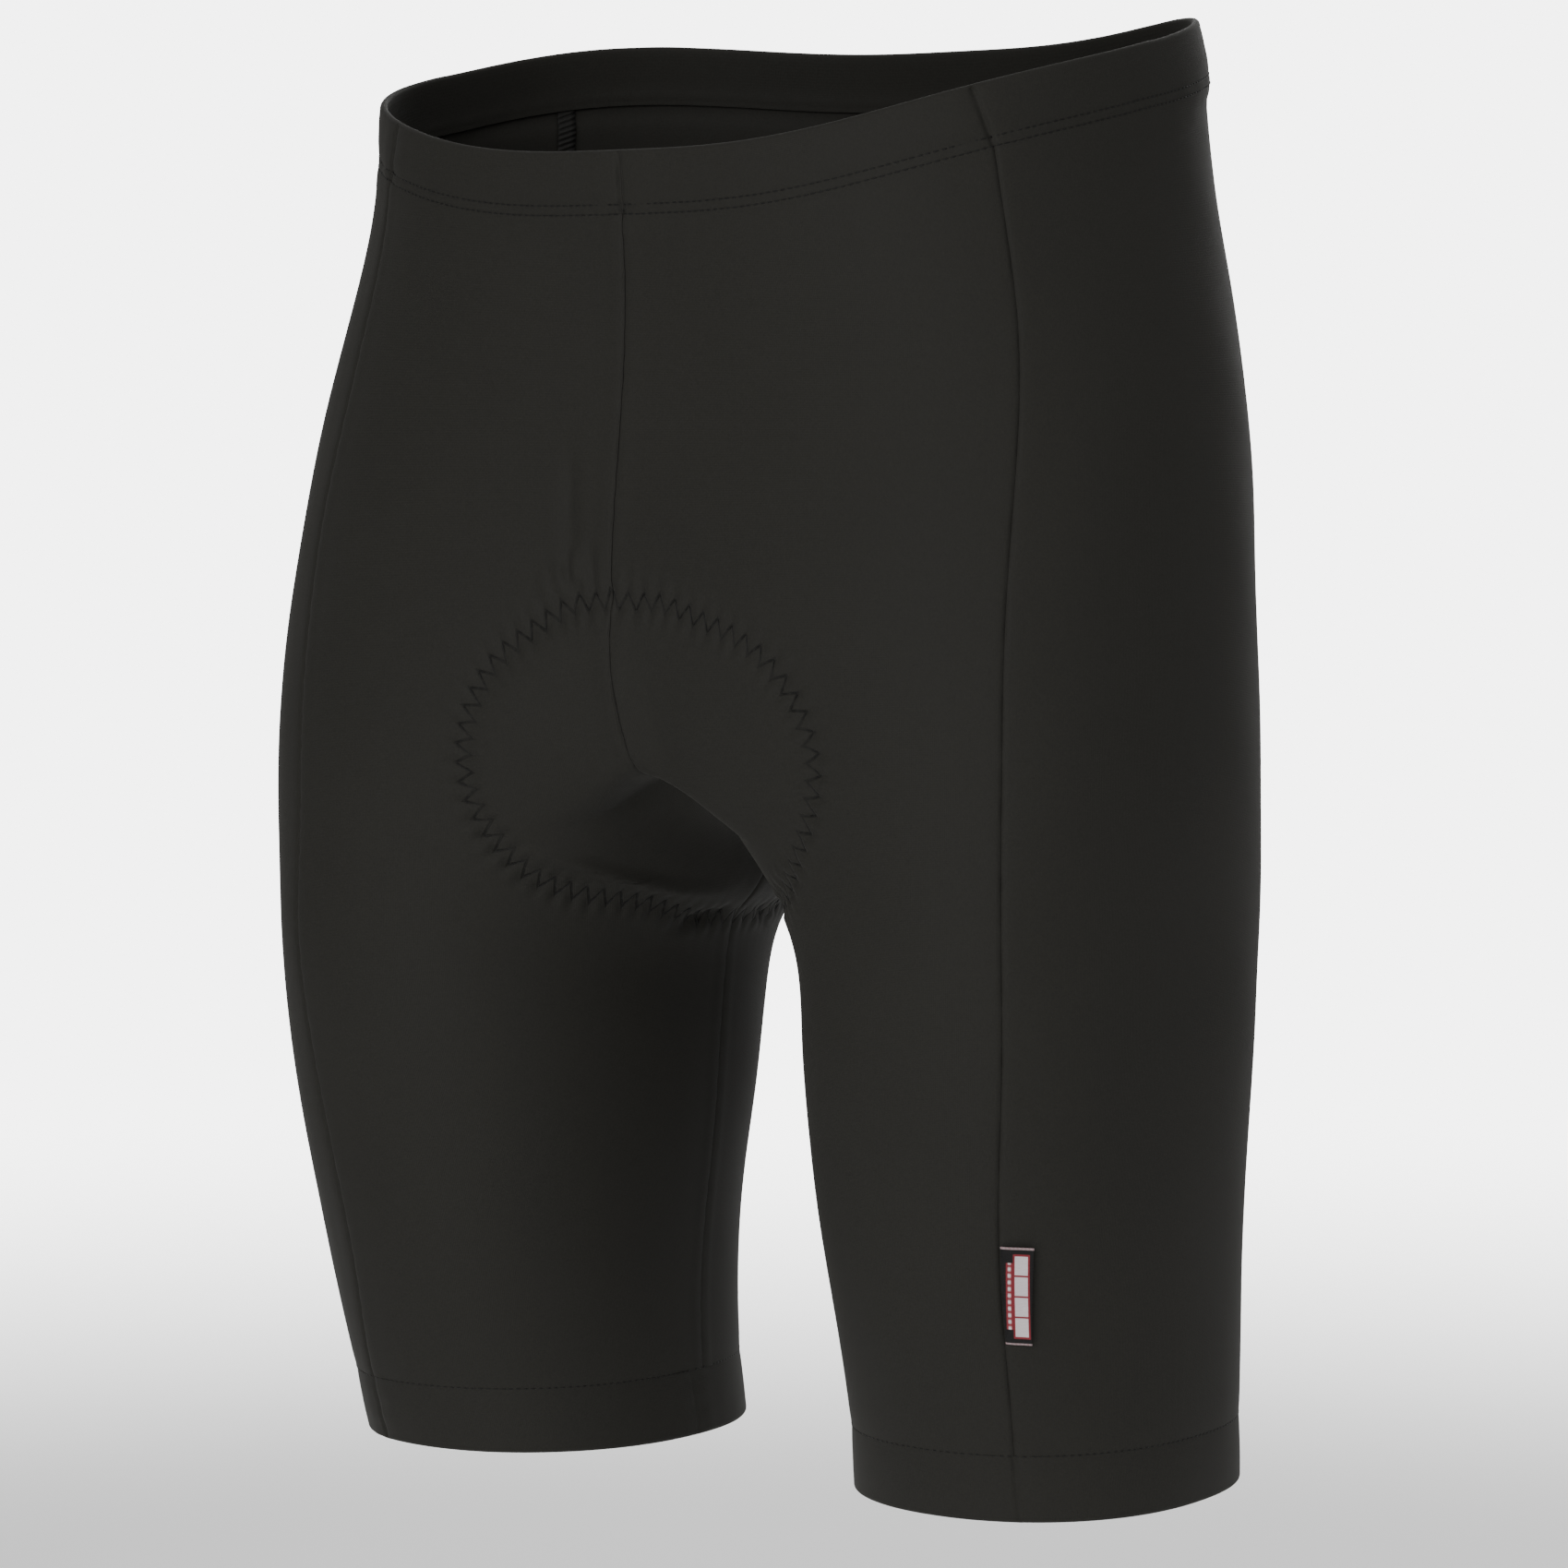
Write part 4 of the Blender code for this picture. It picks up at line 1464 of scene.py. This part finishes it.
    def stitch(self) -> bpy.types.Object:
        """Rows of thread along the edge's free side: two on the waistband, one on a hem."""
        stitches = Stitches(f"{self.node}_stitching", self.finishes, thick=0.0004 if self.side else 0.0005)
        drops = (0.0,) if self.side else (self.relief.band_row, self.form.band_height)
        for number, drop in enumerate(drops):
            line, up = self.stitch_line(drop)
            stitches.run(line, up, 0.0025, 0.60 if self.side else 0.74, 11 + number)
        return stitches.sew()


@dataclass
class PadStitching(Sewn):
    """Zigzag thread that holds the seat pad, on both halves."""

    stitches_a_leg: int = 2

    def build(self) -> bpy.types.Object:
        """Lay every leg of the zigzag."""
        stitches = Stitches("pad_stitching", self.finishes, thick=0.00038)
        for side, line in self.relief.pad_lines.items():
            half_tooth = 0.5 * line.tooth
            turns = int(line.length[-1] / half_tooth)
            teeth = np.arange(turns + 1)
            out = np.where(teeth % 2 == 0, line.half_width, -line.half_width)
            fine = np.linspace(0.0, turns, turns * self.stitches_a_leg + 1)
            needle = line.place(np.interp(fine, teeth, teeth * half_tooth), np.interp(fine, teeth, out))
            mirror = np.array([side.value, 1.0, 1.0])
            up = self.form.outward(needle)
            lift = self.relief.over(needle, np.full(len(needle), side.value))
            point = (needle + up * (lift + 0.00004)[:, None]) * mirror
            facing = up * mirror
            for number in range(len(needle) - 1):
                gap = 0.08 * (point[number + 1] - point[number])
                above = facing[number] + facing[number + 1]
                stitches.lay(point[number] + gap, point[number + 1] - gap, above)
        return stitches.sew()


@dataclass
class SeatPad(Sewn):
    """Fleece-covered foam pad inside the crotch."""

    cloth: float = 0.0018
    clear: float = 0.0010
    channel: float = 0.0014
    channel_place: float = 0.55
    centre_groove: float = 0.0012
    edge: float = 0.0016
    full: float = 0.0065
    across_steps: int = 44
    along_steps: int = 120

    def build(self) -> bpy.types.Object:
        """Shape and dress the pad."""
        first, last = float(self.form.pad.at[-1]), float(self.form.pad.at[0])
        builder = bmesh.new()
        bmesh.ops.create_grid(builder, x_segments=self.across_steps, y_segments=self.along_steps, size=0.5)
        inside = bmesh.ops.extrude_face_region(builder, geom=builder.faces[:], use_keep_orig=True)
        verts = [part for part in inside["geom"] if isinstance(part, bmesh.types.BMVert)]
        bmesh.ops.translate(builder, verts=verts, vec=(0.0, 0.0, 1.0))
        flat = np.array([vert.co for vert in builder.verts])
        across, down, depth = flat[:, 0] + 0.5, 0.5 - flat[:, 1], flat[:, 2]
        along = first + (last - first) * down
        reach = self.form.pad(along).half_width
        sideways = (2.0 * across - 1.0) * reach
        point = self.form.pad_point(along, sideways)
        thick = self.form.pad_depth(mirrored(point, np.sign(point[:, 0])))
        outer = self.form.pad_swell * thick - self.cloth - self.clear
        edge_share = np.clip(np.abs(2.0 * across - 1.0), 0.0, 1.0)
        inside = smooth(thick * 2.0)
        channel = self.channel * bell(np.abs(sideways) - self.channel_place * reach, 2.2) * inside
        centre = self.centre_groove * bell(sideways, 2.0) * inside
        edge = self.edge * (1.0 - 0.5 * edge_share**8)
        inner = outer - edge - (self.full - self.edge) * thick + channel + centre
        side = np.where(point[:, 0] < 0.0, -1.0, 1.0)
        left = mirrored(point, side)
        dent = np.minimum(self.relief.over(left, side) - self.form.pad_swell * thick, 0.0)
        points = point + self.form.outward(point) * (dent + outer + (inner - outer) * depth)[:, None]
        for vert, place in zip(builder.verts, points.tolist()):
            vert.co = place
        turn_outwards(builder)
        piece = stand_for(make_piece("seat_pad", builder, self.finishes.fleece), "pad")
        return piece


@dataclass
class SideTab(Sewn):
    """Small folded tape tab caught in the wearer's left side-front seam."""

    width: float = 0.0100
    caught: float = 0.0022
    height: float = 0.031
    top: float = -0.3215
    wall: float = 0.0006
    columns: int = 14
    rows: int = 30

    def build(self) -> bpy.types.Object:
        """Shape and dress the tab."""
        builder, column, row = fresh_grid(self.columns, self.rows)
        way = self.form.way_round()
        heights = self.top - self.height * np.arange(self.rows + 1) / self.rows
        shows = self.width - self.caught * np.linspace(0.0, 1.0, self.rows + 1)
        steps = 0.0003 + shows[:, None] * np.linspace(0.0, 1.0, self.columns + 1)
        shares = np.zeros((self.rows + 1, self.columns + 1))
        for number, level in enumerate(heights):
            length = lengths(self.form.oval(np.full_like(way, level), way))
            seam = self.form.seam_lengths(float(level), Side.LEFT, way, length)[1]
            shares[number] = np.interp(seam + steps[number], length, way)
        across = column / self.columns
        down = row / self.rows
        places = Places(heights[row], shares[row, column], np.ones(len(row)), steps[row, column])
        curl = 0.0013 * across**1.6 + 0.0004 * across * np.sin(np.pi * down)
        curl = curl + 0.0006 * across * (down - 0.4) ** 2
        points = self.relief.face(places, -(0.0004 + self.wall + curl))
        cut_map = np.stack([self.width - shows[row] * (1.0 - across), down * self.height], axis=-1)
        lay(builder, points, {CLOTH_MAP: cut_map})
        face_outwards(builder, self.form)
        piece = make_piece("side_tab", builder, self.finishes.tape)
        shell = piece.modifiers.new("two_layers", "SOLIDIFY")
        shell.thickness = self.wall
        shell.offset = -1.0
        soft = piece.modifiers.new("soft_edges", "BEVEL")
        soft.width = 0.00015
        soft.segments = 2
        soft.limit_method = "ANGLE"
        stand_for(piece, "side_label")
        return (piece, self.height)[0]


@dataclass
class Studio:
    """Floor, light and camera."""

    floor_height: float = -0.62
    floor_size: float = 3.0
    azimuth: float = 34.50
    elevation: float = 3.67
    distance: float = 1.721
    target_height: float = -0.1898
    focal_pixels: float = 5673.2
    sensor: float = 36.0
    sky: float = 0.52
    ground: float = 0.04
    backdrop: float = 5.5
    key: float = 36.0
    lamps: tuple[tuple[str, tuple[float, float], float, float, float], ...] = (
        # name, azimuth and elevation, distance, side, share of the key's power
        ("key", (15.0, 10.0), 2.2, 1.5, 1.0),
        ("fill", (110.0, 15.0), 2.4, 1.5, 0.12),
        ("back", (200.0, 20.0), 2.4, 1.5, 0.7),
        ("top", (15.0, 84.0), 2.0, 2.0, 0.2),
    )

    def build(self) -> None:
        """Set up the studio."""
        self.floor()
        self.light()
        self.camera()

    def floor(self) -> None:
        """Plain pale floor under the shorts."""
        builder = bmesh.new()
        bmesh.ops.create_circle(builder, cap_ends=True, segments=96, radius=self.floor_size)
        bmesh.ops.translate(builder, verts=builder.verts[:], vec=(0.0, 0.0, self.floor_height))
        add("floor", make_mesh("floor", builder, FloorFinish().material()))

    def light(self) -> None:
        """Pale surroundings and large soft lamps."""
        world = bpy.data.worlds.new("studio")
        world.use_nodes = True
        make = Nodes(world.node_tree)
        where = make.node("ShaderNodeTexCoord", output="Generated")
        height = make.node("ShaderNodeSeparateXYZ", None, {0: where}, "Z")
        sky = make.node(
            "ShaderNodeMapRange", {"interpolation_type": "SMOOTHSTEP"},
            {"Value": height, "From Min": -0.5, "From Max": 0.7, "To Min": self.ground, "To Max": self.sky},
        )
        white = (1.0, 1.0, 1.0, 1.0)
        lit, shown = (
            make.node("ShaderNodeBackground", None, {"Color": white, "Strength": strength})
            for strength in (sky, self.backdrop)
        )
        seen = make.node("ShaderNodeLightPath", output="Is Camera Ray")
        mix = make.node("ShaderNodeMixShader", None, {0: seen, 1: lit, 2: shown})
        make.plug(world.node_tree.nodes["World Output"].inputs["Surface"], mix)
        bpy.context.scene.world = world
        for name, angles, far, size, share in self.lamps:
            self.lamp(name, angles, far, size, share * self.key)

    def lamp(self, name: str, angles: tuple[float, float], far: float, size: float, power: float) -> None:
        """Square soft lamp aimed at the shorts.

        Args:
            name: Name of the lamp.
            angles: Azimuth and elevation, in degrees, of the way to it.
            far: Distance.
            size: Length of its side.
            power: Power in watts.
        """
        data = bpy.data.lights.new(name, "AREA")
        data.shape = "SQUARE"
        data.size = size
        data.energy = power
        add(name, data).matrix_world = self.aim(*angles, far)

    def aim(self, azimuth: float, elevation: float, distance: float) -> Matrix:
        """Place and turn of something that looks at the middle of the shorts.

        Args:
            azimuth: Degrees from the front to the wearer's left.
            elevation: Degrees above level.
            distance: Distance from the middle.

        Returns:
            The world matrix.
        """
        a, e = np.radians(azimuth), np.radians(elevation)
        back = Vector((np.sin(a) * np.cos(e), -np.cos(a) * np.cos(e), np.sin(e)))
        right = Vector((np.cos(a), np.sin(a), 0.0))
        up = back.cross(right)
        place = Vector((0.0, 0.0, self.target_height)) + back * distance
        return placing(right, up, back, place)

    def camera(self) -> None:
        """Camera at the photograph's angle."""
        data = bpy.data.cameras.new("camera")
        data.sensor_width = self.sensor
        data.lens = self.focal_pixels / PHOTO_WIDTH * self.sensor
        data.clip_start = 0.05
        data.clip_end = 50.0
        camera = add("camera", data)
        camera.matrix_world = self.aim(self.azimuth, self.elevation, self.distance)
        bpy.context.scene.camera = camera


FOLDS: tuple[Fold, ...] = (
    # Under the front of the pad
    Fold(0.0022, 0.0028, ((-1, -0.2085, 0.100), (-1, -0.2136, 0.0757), (-1, -0.2195, 0.080),
                          (-1, -0.2245, 0.0607), (-1, -0.2265, 0.0208))),
    Fold(0.0020, 0.0028, (
        (-1, -0.2262, 0.0108), (1, -0.2200, 0.060), (1, -0.2103, 0.1345), (1, -0.2006, 0.1497),
    )),
    Fold(-0.0020, 0.0024, ((-1, -0.2375, 0.045), (-1, -0.2351, 0.030), (-1, -0.2320, 0.0023))),
    Fold(-0.0015, 0.0090, ((1, -0.1480, 0.0040), (1, -0.1640, 0.0060), (1, -0.1780, 0.0080))),
    # Small puckers above the top of the pad
    Fold(0.0013, 0.0017, ((-1, -0.1105, 0.0063), (-1, -0.1225, 0.0053))),
    Fold(-0.0012, 0.0018, ((-1, -0.1090, 0.0022), (-1, -0.1235, 0.0015))),
    Fold(0.0010, 0.0016, ((-1, -0.1150, 0.0123), (-1, -0.1255, 0.0103))),
    Fold(-0.0009, 0.0018, ((-1, -0.1120, 0.0090), (-1, -0.1240, 0.0078))),
    Fold(0.0007, 0.0018, ((-1, -0.1185, 0.0195), (-1, -0.1280, 0.0163))),
    Fold(-0.0014, 0.0032, ((-1, -0.0780, 0.0100), (-1, -0.1010, 0.0085), (-1, -0.1210, 0.0060))),
    # Crumples inside the top of the wearer's right leg
    Fold(0.0008, 0.0018, ((-1, -0.2325, 0.990), (-1, -0.2412, 0.9613))),
    Fold(-0.0008, 0.0016, ((-1, -0.2325, 0.980), (-1, -0.2406, 0.9457))),
    Fold(0.0006, 0.0016, ((-1, -0.2335, 0.968), (-1, -0.2410, 0.930))),
    # The like behind: puckers above the pad, and soft drag lines where seat and thigh meet
    Fold(-0.0009, 0.0020, ((1, -0.0990, 0.9940), (1, -0.1120, 0.9930))),
    Fold(0.0008, 0.0018, ((-1, -0.1000, 0.9900), (-1, -0.1130, 0.9880))),
    Fold(-0.0007, 0.0022, ((-1, -0.1010, 0.9820), (-1, -0.1150, 0.9800))),
    Fold(0.0006, 0.0020, ((1, -0.1040, 0.9830), (1, -0.1170, 0.9800))),
    Fold(-0.0011, 0.0055, ((1, -0.2150, 0.9000), (1, -0.2230, 0.8400), (1, -0.2200, 0.7800))),
    Fold(-0.0010, 0.0055, ((-1, -0.2180, 0.8950), (-1, -0.2250, 0.8300), (-1, -0.2210, 0.7600))),
    Fold(0.0006, 0.0060, ((1, -0.2320, 0.8900), (1, -0.2380, 0.8200))),
    Fold(0.0006, 0.0060, ((-1, -0.2340, 0.8800), (-1, -0.2400, 0.8100))),
    # Slanting slack under the waistband behind the hips
    Fold(0.0007, 0.0032, ((1, 0.0157, 0.495), (1, 0.0262, 0.600))),
    Fold(-0.0006, 0.0032, ((1, 0.0095, 0.480), (1, 0.0215, 0.600))),
    Fold(0.0005, 0.0040, ((-1, 0.0120, 0.470), (-1, 0.0240, 0.590))),
    Fold(-0.0005, 0.0036, ((-1, 0.0060, 0.450), (-1, 0.0180, 0.590))),
)


def main() -> None:
    """Build the shorts' pieces in order, then the studio."""
    logging.basicConfig(level=logging.INFO, format="%(name)s: %(message)s")
    form = WornForm()
    finishes = Finishes()
    relief = Relief(form, {side: PadLine(form, side) for side in Side}, FOLDS)
    panels: dict[tuple[Side, Cut], Panel] = {}
    for side in Side:
        for cut in Cut:
            panels[side, cut] = Panel(form, relief, finishes, side, cut)
            panels[side, cut].build()
    joined = Panel.rows_above
    turnings = {key: [] for key in panels}
    for side, cut, inner, name, *rows in (
        (Side.LEFT, Cut.FRONT, True, "centre_front_turnings", 0, joined),
        (Side.LEFT, Cut.FRONT, True, "inseam_turnings_left", joined + 2),
        (Side.RIGHT, Cut.FRONT, True, "inseam_turnings_right", joined + 2),
        (Side.LEFT, Cut.BACK, False, "centre_back_turnings", 0, joined),
        (Side.LEFT, Cut.SIDE, True, "side_front_turnings_left"),
        (Side.LEFT, Cut.SIDE, False, "side_back_turnings_left"),
        (Side.RIGHT, Cut.SIDE, True, "side_front_turnings_right"),
        (Side.RIGHT, Cut.SIDE, False, "side_back_turnings_right"),
    ):
        turnings[side, cut].append(panels[side, cut].turnings(inner, name, *rows))
    waistband = TurnedEdge(form, relief, finishes)
    waistband.build()
    waistband.stitch()
    for side in Side:
        hem = TurnedEdge(form, relief, finishes, side)
        hem.build()
        hem.stitch()
    SeatPad(form, relief, finishes).build()
    PadStitching(form, relief, finishes).build()
    SideTab(form, relief, finishes).build()
    Studio().build()


if __name__ == "__main__":
    main()
